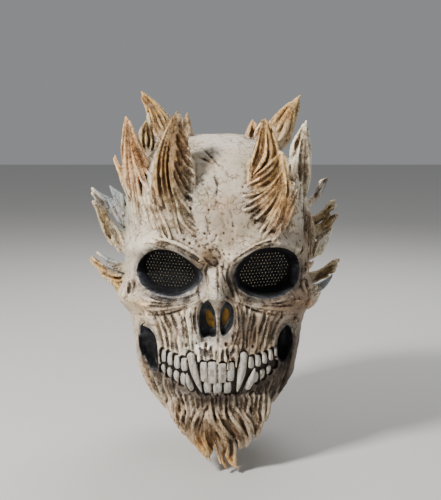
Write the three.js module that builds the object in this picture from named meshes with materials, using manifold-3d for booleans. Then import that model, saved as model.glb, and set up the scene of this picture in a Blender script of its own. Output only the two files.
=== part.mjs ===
// A full-head carnival mask in the form of a horned skull. The face, crown, horns, side locks, teeth and
// beard are one latex casting with an open hollow. A perforated black panel closes each eye socket from
// inside, and an amber foam pad lies behind the two nostril slots.
// Millimetres. The face looks along -Y, +X is to the viewer's right and +Z is up. The origin is the top
// of the hollow, where the crown rests on the wearer.
import * as THREE from "three";
import { mergeVertices } from "three/addons/utils/BufferGeometryUtils.js";
import Module from "manifold-3d";

const wasm = await Module();
wasm.setup();

// Casting: the head shell
const wall = 3; // latex thickness where it is thinnest
const headHalfWidth = 99; // middle plane to the side, at the widest level
const crownRise = 98; // widest level up to the top of the crown
const faceDrop = 195; // widest level down to the rim at the chin
const napeDrop = 133; // widest level down to the rim at the nape
const faceDepth = 112; // head axis forward to the face
const backDepth = 108; // head axis back to the back of the head
const squareness = 2.5; // exponent of the rounded sections: 2 is an ellipse
const reliefHeight = 12; // height of the strongest bone ridge
const hollowFollows = 0.5; // share of each ridge that the hollow follows
const widestLevel = wall - crownRise;

// Eye sockets and the panels behind them
const socketInset = 24; // side of the head in to a socket's outer corner
const socketWidth = 60;
const socketHeight = 40;
const socketDrop = 38; // widest level down to the socket centres
const socketDepth = 32; // face depth back to the middle of a socket's inner end
const socketYaw = 27; // degrees that each socket looks outwards
const socketFlare = 0.36; // how much wider the socket is at the face
const socketLength = 42;
const panelThickness = 1.2;
const panelLap = 2.2; // panel beyond the socket's edge all round
const seatGap = 0.3; // between the casting and what lies against it
const holeWidth = 3.6;
const holePitch = 8;

// Cheek pockets, below the cheekbones
const pocketWidth = 26;
const pocketHeight = 52;
const pocketDepth = 50;
const pocketDrop = 119;
const pocketInset = 27; // side of the head in to a pocket's middle
const pocketTilt = 13; // degrees, the lower end towards the chin

// Nose
const nostrilWidth = 14.5;
const nostrilHeight = 34;
const nostrilSpacing = 18.5;
const nostrilTilt = 9;
const nostrilDrop = 79;
const nostrilDepth = 4; // face depth back to the floor of the nostril wells
const slotWidth = 7;
const slotHeight = 19;
const padWidth = 38;
const padHeight = 30;
const padThickness = 6;

// Horns, side locks, teeth and beard
const hornRadius = 30;
const toothWidth = 11;
const toothProud = 0.25; // how far a tooth's middle stands off the gum, as a share of its half width
const beardRadius = 11;
const beardProud = 4;

// Level sections of the head below its widest level, as shares of the drop, the half width and the depths.
const headSections = [
  { drop: 0.0, width: 1.0, front: 0.96, back: 1.0 },
  { drop: 0.154, width: 1.01, front: 0.98, back: 0.99 },
  { drop: 0.308, width: 1.0, front: 0.98, back: 0.96 },
  { drop: 0.436, width: 0.965, front: 1.0, back: 0.91 },
  { drop: 0.559, width: 0.93, front: 1.03, back: 0.86 },
  { drop: 0.682, width: 0.89, front: 1.05, back: 0.82 },
  { drop: 0.805, width: 0.81, front: 1.06, back: 0.8 },
  { drop: 0.897, width: 0.68, front: 1.05, back: 0.78 },
  { drop: 0.954, width: 0.62, front: 1.03, back: 0.77 },
  { drop: 1.0, width: 0.56, front: 1.0, back: 0.76 },
];

// Outline of an eye socket as shares of its half width and half height. Across runs away from the nose,
// and the upper edge falls towards the nose like a frown.
const socketCorners = [
  { across: 1.0, up: 0.16 },
  { across: 0.9, up: 0.62 },
  { across: 0.56, up: 0.93 },
  { across: 0.08, up: 1.0 },
  { across: -0.32, up: 0.88 },
  { across: -0.66, up: 0.54 },
  { across: -0.93, up: 0.18 },
  { across: -1.0, up: -0.14 },
  { across: -0.86, up: -0.58 },
  { across: -0.46, up: -0.9 },
  { across: 0.12, up: -1.0 },
  { across: 0.62, up: -0.8 },
  { across: 0.9, up: -0.4 },
];

// The open rim: turn in degrees from the face, and how far it has come down from nape to chin.
const rimSections = [
  { turn: 0, chin: 1.0 },
  { turn: 25, chin: 0.9 },
  { turn: 37, chin: 0.71 },
  { turn: 56, chin: 0.39 },
  { turn: 72, chin: 0.19 },
  { turn: 90, chin: 0.065 },
  { turn: 180, chin: 0.0 },
];

// Bone relief on both sides of the face. Each ridge runs between two places, given as shares of the half
// width and the face drop. Its spread is a share of the half width, its height of the relief height.
const boneRelief = [
  { bone: "outer brow", x1: 0.82, d1: 0.08, x2: 0.5, d2: 0.02, spread: 0.1, height: 0.6 },
  { bone: "inner brow", x1: 0.5, d1: 0.02, x2: 0.16, d2: 0.11, spread: 0.1, height: 0.7 },
  { bone: "brow middle", x1: 0.0, d1: 0.05, x2: 0.0, d2: 0.08, spread: 0.12, height: 0.35 },
  { bone: "nose root", x1: 0.0, d1: 0.14, x2: 0.0, d2: 0.14, spread: 0.08, height: -0.4 },
  { bone: "nose bridge", x1: 0.0, d1: 0.2, x2: 0.0, d2: 0.3, spread: 0.1, height: 1.0 },
  { bone: "nose rim", x1: 0.2, d1: 0.34, x2: 0.17, d2: 0.5, spread: 0.07, height: 0.5 },
  { bone: "lip bone", x1: 0.0, d1: 0.56, x2: 0.0, d2: 0.62, spread: 0.16, height: 0.45 },
  { bone: "tooth arch", x1: 0.0, d1: 0.7, x2: 0.55, d2: 0.64, spread: 0.14, height: 0.5 },
  { bone: "cheekbone", x1: 0.55, d1: 0.34, x2: 0.97, d2: 0.36, spread: 0.11, height: 0.85 },
  { bone: "cheek knob", x1: 0.98, d1: 0.42, x2: 0.98, d2: 0.42, spread: 0.08, height: 0.5 },
  { bone: "cheek hollow", x1: 0.42, d1: 0.45, x2: 0.42, d2: 0.5, spread: 0.14, height: -0.4 },
  { bone: "jaw edge", x1: 0.74, d1: 0.78, x2: 0.36, d2: 0.92, spread: 0.1, height: 0.3 },
  { bone: "chin", x1: 0.0, d1: 0.9, x2: 0.0, d2: 0.93, spread: 0.22, height: 0.4 },
  { bone: "forehead", x1: 0.33, d1: -0.2, x2: 0.33, d2: -0.2, spread: 0.3, height: 0.25 },
];

// Horns and side locks. The root is a turn and a lift in degrees as seen from the middle of the widest
// level. The tip and the bow of the middle are shares of the half width across, the face depth forwards
// and the crown rise upwards. The radius is a share of the horn radius.
const horns = [
  { name: "left outer", turn: -46, lift: 10, tip: [-0.95, 0.4, 1.18], bow: [-0.04, 0.0, 0], radius: 0.8 },
  { name: "left inner", turn: -24, lift: 8, tip: [-0.4, 0.82, 1.23], bow: [-0.03, 0.14, 0], radius: 1.08 },
  { name: "left fore", turn: -32, lift: 10, tip: [-0.5, 0.93, 0.9], bow: [-0.05, 0.1, 0], radius: 0.46 },
  { name: "left rear", turn: -107, lift: 58, tip: [-0.84, -0.22, 1.46], bow: [0.04, 0, 0.02], radius: 0.64 },
  { name: "left middle", turn: -84, lift: 40, tip: [-0.74, 0.13, 1.17], bow: [-0.04, 0, 0], radius: 0.46 },
  { name: "left small", turn: -50, lift: 66, tip: [-0.32, 0.18, 1.22], bow: [0, 0, 0], radius: 0.22 },
  { name: "right outer", turn: 50, lift: 10, tip: [0.93, 0.4, 1.14], bow: [0.02, 0.0, 0], radius: 0.72 },
  { name: "right inner", turn: 24, lift: 14, tip: [0.48, 0.82, 1.16], bow: [0.08, 0.14, 0], radius: 0.88 },
  { name: "right fore", turn: 24, lift: 6, tip: [0.62, 0.88, 0.82], bow: [0.14, 0.12, 0], radius: 0.68 },
  { name: "right low", turn: 27, lift: 1, tip: [0.66, 0.93, 0.62], bow: [0.14, 0.1, 0], radius: 0.52 },
  { name: "right rear", turn: 104, lift: 51, tip: [0.92, -0.22, 1.42], bow: [-0.04, 0, 0.04], radius: 0.78 },
  { name: "right small", turn: 50, lift: 64, tip: [0.38, 0.18, 1.15], bow: [0, 0, 0], radius: 0.24 },
];

const sideLocks = [
  { turn: -86, lift: 18, tip: [-1.12, 0.0, 0.76], bow: [-0.02, 0, 0], radius: 0.2 },
  { turn: -92, lift: 2, tip: [-1.39, -0.18, 0.37], bow: [0.02, 0, -0.08], radius: 0.7 },
  { turn: -84, lift: -14, tip: [-1.37, -0.12, 0.2], bow: [0.02, 0, -0.12], radius: 0.62 },
  { turn: -96, lift: 8, tip: [-1.22, -0.3, 0.4], bow: [0, 0, -0.05], radius: 0.5 },
  { turn: -92, lift: -32, tip: [-1.44, -0.18, -0.42], bow: [0.02, 0, -0.12], radius: 0.42 },
  { turn: -86, lift: -26, tip: [-1.34, -0.26, -0.36], bow: [0, 0, -0.1], radius: 0.34 },
  { turn: -82, lift: -40, tip: [-1.18, -0.06, -0.6], bow: [0, 0, -0.08], radius: 0.34 },
  { turn: 86, lift: 12, tip: [1.22, -0.1, 0.5], bow: [0.04, 0, -0.04], radius: 0.24 },
  { turn: 94, lift: 0, tip: [1.32, -0.22, 0.23], bow: [0.02, 0, -0.1], radius: 0.34 },
  { turn: 88, lift: -6, tip: [1.34, -0.18, 0.07], bow: [0.04, 0, -0.1], radius: 0.5 },
  { turn: 84, lift: -18, tip: [1.28, -0.05, -0.07], bow: [0.02, 0, -0.1], radius: 0.48 },
  { turn: 92, lift: -32, tip: [1.34, -0.18, -0.43], bow: [0.03, 0, -0.12], radius: 0.44 },
  { turn: 84, lift: -36, tip: [1.28, 0.0, -0.58], bow: [0.02, 0, -0.1], radius: 0.36 },
  { turn: 84, lift: -42, tip: [1.15, 0.0, -0.78], bow: [0.02, 0, -0.08], radius: 0.28 },
];

// Teeth. Root and tip places on the face as shares of the half width and the face drop, the width as a
// share of the tooth width, and whether the tooth ends in a point.
const teeth = [
  { x: -0.029, drop: 0.632, tipX: -0.026, tipDrop: 0.735, width: 0.9, point: 0 },
  { x: 0.079, drop: 0.636, tipX: 0.075, tipDrop: 0.73, width: 0.8, point: 0 },
  { x: -0.123, drop: 0.636, tipX: -0.115, tipDrop: 0.728, width: 0.75, point: 0 },
  { x: 0.168, drop: 0.636, tipX: 0.162, tipDrop: 0.726, width: 0.64, point: 0 },
  { x: -0.27, drop: 0.61, tipX: -0.148, tipDrop: 0.79, width: 1.0, point: 1 },
  { x: 0.29, drop: 0.605, tipX: 0.205, tipDrop: 0.79, width: 1.0, point: 1 },
  { x: -0.345, drop: 0.605, tipX: -0.335, tipDrop: 0.677, width: 0.6, point: 0 },
  { x: -0.416, drop: 0.595, tipX: -0.408, tipDrop: 0.671, width: 0.58, point: 0 },
  { x: -0.482, drop: 0.58, tipX: -0.476, tipDrop: 0.656, width: 0.56, point: 0 },
  { x: -0.545, drop: 0.57, tipX: -0.542, tipDrop: 0.643, width: 0.54, point: 0 },
  { x: 0.36, drop: 0.603, tipX: 0.356, tipDrop: 0.664, width: 0.58, point: 0 },
  { x: 0.428, drop: 0.603, tipX: 0.426, tipDrop: 0.661, width: 0.56, point: 0 },
  { x: 0.494, drop: 0.592, tipX: 0.492, tipDrop: 0.65, width: 0.54, point: 0 },
  { x: 0.56, drop: 0.577, tipX: 0.556, tipDrop: 0.64, width: 0.52, point: 0 },
  { x: -0.078, drop: 0.798, tipX: -0.082, tipDrop: 0.744, width: 0.74, point: 0 },
  { x: 0.03, drop: 0.803, tipX: 0.03, tipDrop: 0.748, width: 0.84, point: 0 },
  { x: 0.134, drop: 0.798, tipX: 0.138, tipDrop: 0.746, width: 0.7, point: 0 },
  { x: -0.262, drop: 0.778, tipX: -0.29, tipDrop: 0.69, width: 0.66, point: 1 },
  { x: 0.31, drop: 0.772, tipX: 0.369, tipDrop: 0.67, width: 0.76, point: 1 },
  { x: -0.346, drop: 0.745, tipX: -0.342, tipDrop: 0.69, width: 0.56, point: 0 },
  { x: -0.414, drop: 0.728, tipX: -0.411, tipDrop: 0.684, width: 0.54, point: 0 },
  { x: -0.482, drop: 0.708, tipX: -0.48, tipDrop: 0.667, width: 0.52, point: 0 },
  { x: 0.463, drop: 0.728, tipX: 0.465, tipDrop: 0.678, width: 0.54, point: 0 },
  { x: 0.53, drop: 0.7, tipX: 0.53, tipDrop: 0.658, width: 0.52, point: 0 },
];

// Beard locks. Roots on the chin and hanging tips, as shares of the half width and the face drop, with a
// sideways sway of the middle and a radius share.
const beardLocks = [
  { x: 0.04, drop: 0.86, tipX: 0.2, tipDrop: 1.197, sway: -0.07, radius: 1.0 },
  { x: -0.06, drop: 0.87, tipX: -0.078, tipDrop: 1.157, sway: -0.05, radius: 0.95 },
  { x: -0.18, drop: 0.86, tipX: -0.14, tipDrop: 1.12, sway: -0.06, radius: 1.0 },
  { x: -0.3, drop: 0.85, tipX: -0.24, tipDrop: 1.075, sway: -0.06, radius: 0.95 },
  { x: -0.42, drop: 0.83, tipX: -0.36, tipDrop: 1.01, sway: -0.05, radius: 0.85 },
  { x: 0.15, drop: 0.86, tipX: 0.24, tipDrop: 1.12, sway: 0.03, radius: 0.95 },
  { x: 0.26, drop: 0.85, tipX: 0.3, tipDrop: 1.1, sway: 0.05, radius: 0.95 },
  { x: 0.37, drop: 0.84, tipX: 0.4, tipDrop: 1.06, sway: 0.04, radius: 0.85 },
  { x: 0.46, drop: 0.82, tipX: 0.48, tipDrop: 0.99, sway: 0.03, radius: 0.7 },
];

// How fine the surfaces are.
const skinColumns = 46;
const crownRows = 6;
const faceRows = 19;
const hollowColumns = 24;
const hollowCrownRows = 4;
const hollowFaceRows = 7;
const frontCrowding = 0.5; // how much closer the columns stand on the face than at the back

const radians = THREE.MathUtils.degToRad;
const smooth = THREE.MathUtils.smoothstep;

// A smooth value between the rows of a table, at a place along one of its columns.
function along(table, placeKey, valueKey, place) {
  const last = table.length - 1;
  let i = 0;
  while (i < last - 1 && place > table[i + 1][placeKey]) i += 1;
  const slope = (k) => {
    const [a, b] = [Math.max(k - 1, 0), Math.min(k + 1, last)];
    return (table[b][valueKey] - table[a][valueKey]) / (table[b][placeKey] - table[a][placeKey]);
  };
  const [from, to] = [table[i], table[i + 1]];
  const span = to[placeKey] - from[placeKey];
  const t = THREE.MathUtils.clamp((place - from[placeKey]) / span, 0, 1);
  const [t2, t3] = [t * t, t * t * t];
  return (
    (2 * t3 - 3 * t2 + 1) * from[valueKey] +
    (t3 - 2 * t2 + t) * span * slope(i) +
    (3 * t2 - 2 * t3) * to[valueKey] +
    (t3 - t2) * span * slope(i + 1)
  );
}

// Height of the bone relief at a place on the face.
function reliefAt(x, z) {
  const across = Math.abs(x) / headHalfWidth;
  const drop = (widestLevel - z) / faceDrop;
  const levelShare = faceDrop / headHalfWidth;
  let height = 0;
  for (const bone of boneRelief) {
    const along2 = { x: bone.x2 - bone.x1, d: (bone.d2 - bone.d1) * levelShare };
    const here = { x: across - bone.x1, d: (drop - bone.d1) * levelShare };
    const length2 = along2.x ** 2 + along2.d ** 2;
    const t = length2 ? (here.x * along2.x + here.d * along2.d) / length2 : 0;
    const nearest = THREE.MathUtils.clamp(t, 0, 1);
    const away = Math.hypot(here.x - nearest * along2.x, here.d - nearest * along2.d);
    height += bone.height * Math.exp(-((away / bone.spread) ** 2));
  }
  return height * reliefHeight;
}

// A point of the head's surface. Turn is the angle from the face, lift the angle above the widest level,
// drop the distance below it. Inwards moves it towards the head's axis; the hollow follows less relief.
function headPoint(turn, lift, drop, inwards = 0, hollow = false) {
  const share = drop / faceDrop;
  const [side, fore, rise] = [
    Math.sin(turn) * Math.cos(lift),
    Math.cos(turn) * Math.cos(lift),
    Math.sin(lift),
  ];
  const halfWidth = headHalfWidth * along(headSections, "drop", "width", share);
  const front = faceDepth * along(headSections, "drop", "front", share);
  const back = backDepth * along(headSections, "drop", "back", share);
  const sum =
    Math.abs(side / halfWidth) ** squareness +
    Math.abs(fore / (fore > 0 ? front : back)) ** squareness +
    Math.abs(rise / crownRise) ** squareness;
  const base = sum ** (-1 / squareness);
  const relief = reliefAt(base * side, widestLevel - drop + base * rise) * smooth(fore, 0, 0.3);
  const kept = hollow && relief > 0 ? hollowFollows : 1;
  const radius = base + relief * kept - inwards;
  return new THREE.Vector3(radius * side, -radius * fore, widestLevel - drop + radius * rise);
}

const rimDrop = (turn) =>
  napeDrop +
  (faceDrop - napeDrop) * along(rimSections, "turn", "chin", Math.abs(THREE.MathUtils.radToDeg(turn)));

// A turn for each column, closer together on the face.
function columnTurns(count) {
  return Array.from({ length: count }, (_, i) => {
    const u = (2 * (i + 0.5)) / count - 1;
    return Math.PI * u * (1 - frontCrowding + frontCrowding * u * u);
  });
}

// A closed body through rings of equally many points, with a point at each end.
function closedLoft(first, rings, last) {
  const points = [first, ...rings.flat(), last];
  const sides = rings[0].length;
  const faces = [];
  const at = (ring, side) => 1 + ring * sides + (side % sides);
  for (let i = 0; i < sides; i += 1) {
    faces.push(0, at(0, i + 1), at(0, i));
    for (let r = 0; r < rings.length - 1; r += 1) {
      faces.push(at(r, i), at(r, i + 1), at(r + 1, i));
      faces.push(at(r, i + 1), at(r + 1, i + 1), at(r + 1, i));
    }
    faces.push(at(rings.length - 1, i), at(rings.length - 1, i + 1), points.length - 1);
  }
  const geometry = new THREE.BufferGeometry().setFromPoints(points);
  geometry.setIndex(faces);
  return geometry;
}

// A geometry as a solid, with its faces turned outwards.
function solid(geometry) {
  const bare = geometry.clone();
  bare.deleteAttribute("normal");
  bare.deleteAttribute("uv");
  const merged = mergeVertices(bare, 1e-4);
  const corners = new Uint32Array(merged.index.array);
  const make = (triVerts) =>
    new wasm.Manifold(
      new wasm.Mesh({ numProp: 3, vertProperties: merged.attributes.position.array, triVerts }),
    );
  const made = make(corners);
  return made.volume() > 0 ? made : make(corners.reverse());
}

// A solid as the geometry of a mesh.
function geometryOf(made) {
  const mesh = made.getMesh();
  const geometry = new THREE.BufferGeometry();
  geometry.setAttribute("position", new THREE.BufferAttribute(mesh.vertProperties, 3));
  geometry.setIndex(new THREE.BufferAttribute(mesh.triVerts, 1));
  return geometry.toNonIndexed();
}

// The head as a full body down to its rim, and the hollow inside it, which runs out past the rim.
function headSolid() {
  const turns = columnTurns(skinColumns);
  const rings = [];
  for (let r = 1; r < crownRows; r += 1) {
    const lift = (Math.PI / 2) * (1 - r / crownRows);
    rings.push(turns.map((turn) => headPoint(turn, lift, 0)));
  }
  for (let r = 0; r <= faceRows; r += 1) {
    rings.push(turns.map((turn) => headPoint(turn, 0, (rimDrop(turn) * r) / faceRows)));
  }
  const floor = new THREE.Vector3(0, 0, widestLevel - napeDrop);
  return solid(closedLoft(headPoint(0, Math.PI / 2, 0), rings, floor));
}

// A point of the hollow's surface lies inside the nearest skin, looked at half a step to each side.
function hollowPoint(turn, lift, drop) {
  const [turnStep, liftStep, dropStep] = [
    Math.PI / hollowColumns / 2,
    lift ? Math.PI / hollowCrownRows / 8 : 0,
    lift ? 0 : faceDrop / hollowFaceRows / 3,
  ];
  const axis = new THREE.Vector3(0, 0, widestLevel - drop);
  const here = headPoint(turn, lift, drop, 0, true);
  let radius = here.distanceTo(axis);
  for (const [a, b] of [[-1, 0], [1, 0], [0, -1], [0, 1]]) {
    const lower = Math.max(drop + b * dropStep, 0);
    const near = headPoint(turn + a * turnStep, lift + b * liftStep, lower, 0, true);
    radius = Math.min(radius, near.distanceTo(new THREE.Vector3(0, 0, widestLevel - lower)));
  }
  return here.sub(axis).setLength(radius - wall).add(axis);
}

function hollowSolid() {
  const turns = columnTurns(hollowColumns);
  const rings = [];
  for (let r = 1; r < hollowCrownRows; r += 1) {
    const lift = (Math.PI / 2) * (1 - r / hollowCrownRows);
    rings.push(turns.map((turn) => hollowPoint(turn, lift, 0)));
  }
  for (let r = 0; r <= hollowFaceRows; r += 1) {
    rings.push(turns.map((turn) => hollowPoint(turn, 0, (rimDrop(turn) * r) / hollowFaceRows)));
  }
  const past = new THREE.Vector3(0, 0, -napeDrop / 2);
  rings.push(rings.at(-1).map((point) => point.clone().add(past)));
  const crown = new THREE.Vector3(0, 0, 0);
  return solid(closedLoft(crown, rings, new THREE.Vector3(0, 0, widestLevel - napeDrop).add(past)));
}

// A tapered spike along a bowed line. Its section is fluted where it has ridges.
function spike({ root, tip, bow, radius, taper, flat, ridges, sides, stations, outwards }) {
  const line = new THREE.QuadraticBezierCurve3(root, root.clone().lerp(tip, 0.5).add(bow), tip);
  const made = stations.map((t) => {
    const centre = line.getPoint(t);
    const tangent = line.getTangent(t);
    const across = new THREE.Vector3().crossVectors(tangent, outwards).normalize();
    const proud = new THREE.Vector3().crossVectors(across, tangent).normalize();
    const size = radius * taper(t);
    return Array.from({ length: sides }, (_, i) => {
      const angle = (2 * Math.PI * i) / sides;
      const ridge = i % 2 ? 1 - ridges : 1;
      return centre
        .clone()
        .addScaledVector(across, size * ridge * Math.cos(angle))
        .addScaledVector(proud, size * ridge * flat * Math.sin(angle));
    });
  });
  return solid(closedLoft(root, made, tip));
}

// A place in the head, as shares across, forwards and upwards.
const placeIn = ([across, forwards, up]) =>
  new THREE.Vector3(across * headHalfWidth, -forwards * faceDepth, up * crownRise);

function lockSolid({ turn, lift, tip, bow, radius }, form) {
  const size = hornRadius * radius;
  const below = lift < 0 ? -Math.tan(radians(lift)) * headHalfWidth : 0;
  const root = headPoint(radians(turn), radians(Math.max(lift, 0)), below, size * form.sunk);
  return spike({
    root,
    tip: placeIn(tip).setZ(widestLevel + tip[2] * crownRise),
    bow: placeIn(bow),
    radius: size,
    outwards: form.facing,
    ...form,
  });
}

const hornForm = {
  taper: (t) => (1 - t) ** 0.75 * (0.3 + 0.7 * smooth(t, 0, 0.45)),
  stations: [0, 0.2, 0.4, 0.62, 0.84],
  sunk: 0.55,
  flat: 0.7,
  ridges: 0.16,
  sides: 8,
  facing: new THREE.Vector3(0, -1, 0),
};
const sideLockForm = {
  taper: (t) => (1 - t) ** 0.8,
  stations: [0, 0.35, 0.72],
  sunk: 0.4,
  flat: 0.6,
  ridges: 0.12,
  sides: 6,
  facing: new THREE.Vector3(0, -1, 0),
};

// The point of the face in front of a place, and the way out of the face there.
function onFace(xShare, dropShare) {
  const x = xShare * headHalfWidth;
  let turn = Math.asin(THREE.MathUtils.clamp(x / faceDepth, -1, 1));
  let point = headPoint(turn, 0, dropShare * faceDrop);
  for (let i = 0; i < 12; i += 1) {
    turn += Math.atan2(x - point.x, Math.abs(point.y) + headHalfWidth / 2);
    point = headPoint(turn, 0, dropShare * faceDrop);
  }
  return { point, outwards: new THREE.Vector3(Math.sin(turn), -Math.cos(turn), 0) };
}

function toothSolid({ x, drop, tipX, tipDrop, width, point }) {
  const from = onFace(x, drop);
  const to = onFace(tipX, tipDrop);
  const size = (toothWidth * width) / 2;
  const sunk = size * toothProud;
  return spike({
    root: from.point.clone().addScaledVector(from.outwards, sunk),
    tip: to.point.clone().addScaledVector(to.outwards, sunk),
    bow: from.outwards.clone().multiplyScalar(size / 2),
    radius: size,
    taper: (t) => 1 - (point ? 0.8 : 0.2) * t * t,
    stations: [0, 0.5, 0.92],
    flat: 1,
    ridges: 0,
    sides: 5,
    outwards: from.outwards,
  });
}

function beardSolid({ x, drop, tipX, tipDrop, sway, radius }) {
  const { point, outwards } = onFace(x, drop);
  const size = beardRadius * radius;
  const tip = new THREE.Vector3(
    tipX * headHalfWidth,
    point.y - beardProud,
    widestLevel - tipDrop * faceDrop,
  );
  return spike({
    root: point.clone().addScaledVector(outwards, beardProud - size / 2),
    tip,
    bow: new THREE.Vector3(sway * headHalfWidth, -beardProud, 0),
    radius: size,
    taper: (t) => (0.75 + 1.5 * t) * (1 - t) ** 0.8,
    flat: 0.8,
    stations: [0, 0.3, 0.7],
    ridges: 0.14,
    sides: 6,
    outwards,
  });
}

// The outline of a socket in its own plane, wider by a margin.
function socketOutline(width, height, margin, points) {
  const half = new THREE.Vector3(width / 2 + margin, height / 2 + margin, 0);
  const corners = socketCorners.map(({ across, up }) => new THREE.Vector3(across, up, 0).multiply(half));
  const outline = new THREE.CatmullRomCurve3(corners, true).getPoints(points).slice(1);
  return outline.map((point) => new THREE.Vector2(point.x, point.y));
}

// Places a socket's own plane in the head. Across runs away from the nose and backwards.
function socketPlace(side) {
  const yaw = radians(socketYaw);
  const across = new THREE.Vector3(side * Math.cos(yaw), Math.sin(yaw), 0);
  const middle = headHalfWidth - socketInset - (socketWidth / 2) * Math.cos(yaw);
  const centre = new THREE.Vector3(side * middle, socketDepth - faceDepth, widestLevel - socketDrop);
  return (flat, forwards) =>
    centre
      .clone()
      .addScaledVector(across, flat.x)
      .add(new THREE.Vector3(0, -forwards, flat.y));
}

const socketPoints = 20;

function socketSolid(side, margin, from) {
  const place = socketPlace(side);
  const rings = [from, socketLength].map((forwards) => {
    const flare = 1 + (socketFlare * forwards) / socketLength;
    return socketOutline(socketWidth * flare, socketHeight * flare, margin, socketPoints).map((flat) =>
      place(flat, forwards),
    );
  });
  const middle = new THREE.Vector2(0, 0);
  return solid(closedLoft(place(middle, from), rings, place(middle, socketLength)));
}

// A perforated panel behind a socket: a flat plate with four-sided holes in staggered rows.
function panelMesh(side, name) {
  const outline = socketOutline(socketWidth, socketHeight, panelLap, socketPoints);
  const shape = new THREE.Shape(outline);
  const inside = socketOutline(socketWidth, socketHeight, -holeWidth, socketPoints);
  const edge = new THREE.Shape(inside).getPoints();
  const rows = Math.floor(socketHeight / holePitch) + 2;
  const columns = Math.floor(socketWidth / holePitch / 2) + 1;
  for (let row = -rows; row <= rows; row += 1) {
    for (let column = -columns; column <= columns; column += 1) {
      const middle = new THREE.Vector2((column + (row % 2 ? 0.5 : 0)) * holePitch, (row * holePitch) / 2);
      if (!holds(edge, middle)) continue;
      const hole = [0, 1, 2, 3].map((k) => {
        const angle = (Math.PI / 2) * k;
        return new THREE.Vector2(Math.cos(angle), Math.sin(angle)).multiplyScalar(holeWidth / 2).add(middle);
      });
      shape.holes.push(new THREE.Path(hole));
    }
  }
  const geometry = new THREE.ExtrudeGeometry(shape, { depth: panelThickness, bevelEnabled: false });
  const place = socketPlace(side);
  const position = geometry.attributes.position;
  for (let i = 0; i < position.count; i += 1) {
    const flat = new THREE.Vector2(position.getX(i), position.getY(i));
    const point = place(flat, -seatGap - panelThickness + position.getZ(i));
    position.setXYZ(i, point.x, point.y, point.z);
  }
  const panel = new THREE.Mesh(geometryOf(solid(geometry)), panelMaterial);
  panel.name = name;
  return panel;
}

// Whether a closed outline goes round a point.
function holds(outline, point) {
  let inside = false;
  outline.forEach((a, i) => {
    const b = outline[(i + 1) % outline.length];
    if (a.y > point.y === b.y > point.y) return;
    if (point.x < ((b.x - a.x) * (point.y - a.y)) / (b.y - a.y) + a.x) inside = !inside;
  });
  return inside;
}

// A closed pocket under a cheekbone, larger by a margin.
function pocketSolid(side, margin) {
  const ball = new THREE.SphereGeometry(1, 12, 8);
  ball.scale(pocketWidth / 2 + margin, pocketDepth / 2 + margin, pocketHeight / 2 + margin);
  ball.rotateY(radians(side * pocketTilt));
  const middle = headHalfWidth - pocketInset;
  const front = onFace(middle / headHalfWidth, pocketDrop / faceDrop).point.y;
  ball.translate(side * middle, front, widestLevel - pocketDrop);
  return solid(ball);
}

// A straight well into the nose, narrowing downwards, from a floor forwards out of the face.
function nostrilSolid(side, width, height, margin, floor, reach) {
  const lean = radians(side * nostrilTilt);
  const middle = new THREE.Vector3((side * nostrilSpacing) / 2, 0, widestLevel - nostrilDrop);
  const rings = [floor, reach].map((forwards) =>
    Array.from({ length: 12 }, (_, i) => {
      const angle = (2 * Math.PI * i) / 12;
      const up = (height / 2 + margin) * Math.sin(angle);
      const across = (width / 2 + margin) * Math.cos(angle) * (1 + (0.35 * Math.sin(angle)));
      return new THREE.Vector3(
        middle.x + across * Math.cos(lean) + up * Math.sin(lean),
        -forwards,
        middle.z + up * Math.cos(lean) - across * Math.sin(lean),
      );
    }),
  );
  const end = (forwards) => middle.clone().setY(-forwards);
  return solid(closedLoft(end(floor), rings, end(reach)));
}

const sides = [-1, 1];
const nostrilFloor = faceDepth - nostrilDepth;
const wellReach = faceDepth + 3 * reliefHeight;

// The casting: the head with all that stands on it, hollowed, then the walls of the sockets, pockets and
// nostril wells, then their openings.
function castingSolid() {
  const head = headSolid();
  let made = head;
  for (const horn of horns) made = made.add(lockSolid(horn, hornForm));
  for (const lock of sideLocks) made = made.add(lockSolid(lock, sideLockForm));
  for (const tooth of teeth) made = made.add(toothSolid(tooth));
  for (const lock of beardLocks) made = made.add(beardSolid(lock));
  made = made.subtract(hollowSolid());
  for (const side of sides) {
    const socketWall = socketSolid(side, wall, 0);
    const pocketWall = pocketSolid(side, wall);
    const wellWall = nostrilSolid(side, nostrilWidth, nostrilHeight, wall, nostrilFloor - wall, wellReach);
    for (const part of [socketWall, pocketWall, wellWall]) made = made.add(part.intersect(head));
  }
  for (const side of sides) {
    made = made.subtract(socketSolid(side, 0, -wall));
    made = made.subtract(pocketSolid(side, 0));
    made = made.subtract(nostrilSolid(side, nostrilWidth, nostrilHeight, 0, nostrilFloor, wellReach));
    const slotBack = nostrilFloor - 2 * wall;
    made = made.subtract(nostrilSolid(side, slotWidth, slotHeight, 0, slotBack, wellReach));
  }
  return made;
}

const boneMaterial = new THREE.MeshStandardMaterial({ color: 0xcbbda6, roughness: 0.75, metalness: 0 });
const panelMaterial = new THREE.MeshStandardMaterial({ color: 0x0d0c0c, roughness: 0.5, metalness: 0 });
const foamMaterial = new THREE.MeshStandardMaterial({ color: 0x9a6f1c, roughness: 0.9, metalness: 0 });

// The nose pad lies flat against the back of the nostril wells.
function padMesh() {
  const geometry = new THREE.CylinderGeometry(1, 1, padThickness, 20);
  geometry.scale(padWidth / 2, 1, padHeight / 2);
  geometry.translate(0, -(nostrilFloor - wall - seatGap - padThickness / 2), widestLevel - nostrilDrop);
  const pad = new THREE.Mesh(geometryOf(solid(geometry)), foamMaterial);
  pad.name = "nose_pad";
  return pad;
}

const casting = new THREE.Mesh(geometryOf(castingSolid()), boneMaterial);
casting.name = "mask_casting";

const mask = new THREE.Group();
mask.add(casting, panelMesh(-1, "eye_panel_left"), panelMesh(1, "eye_panel_right"), padMesh());
export default mask;
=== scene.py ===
"""Looks of the horned skull mask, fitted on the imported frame. Blender's side is in metres."""

import math

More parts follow.
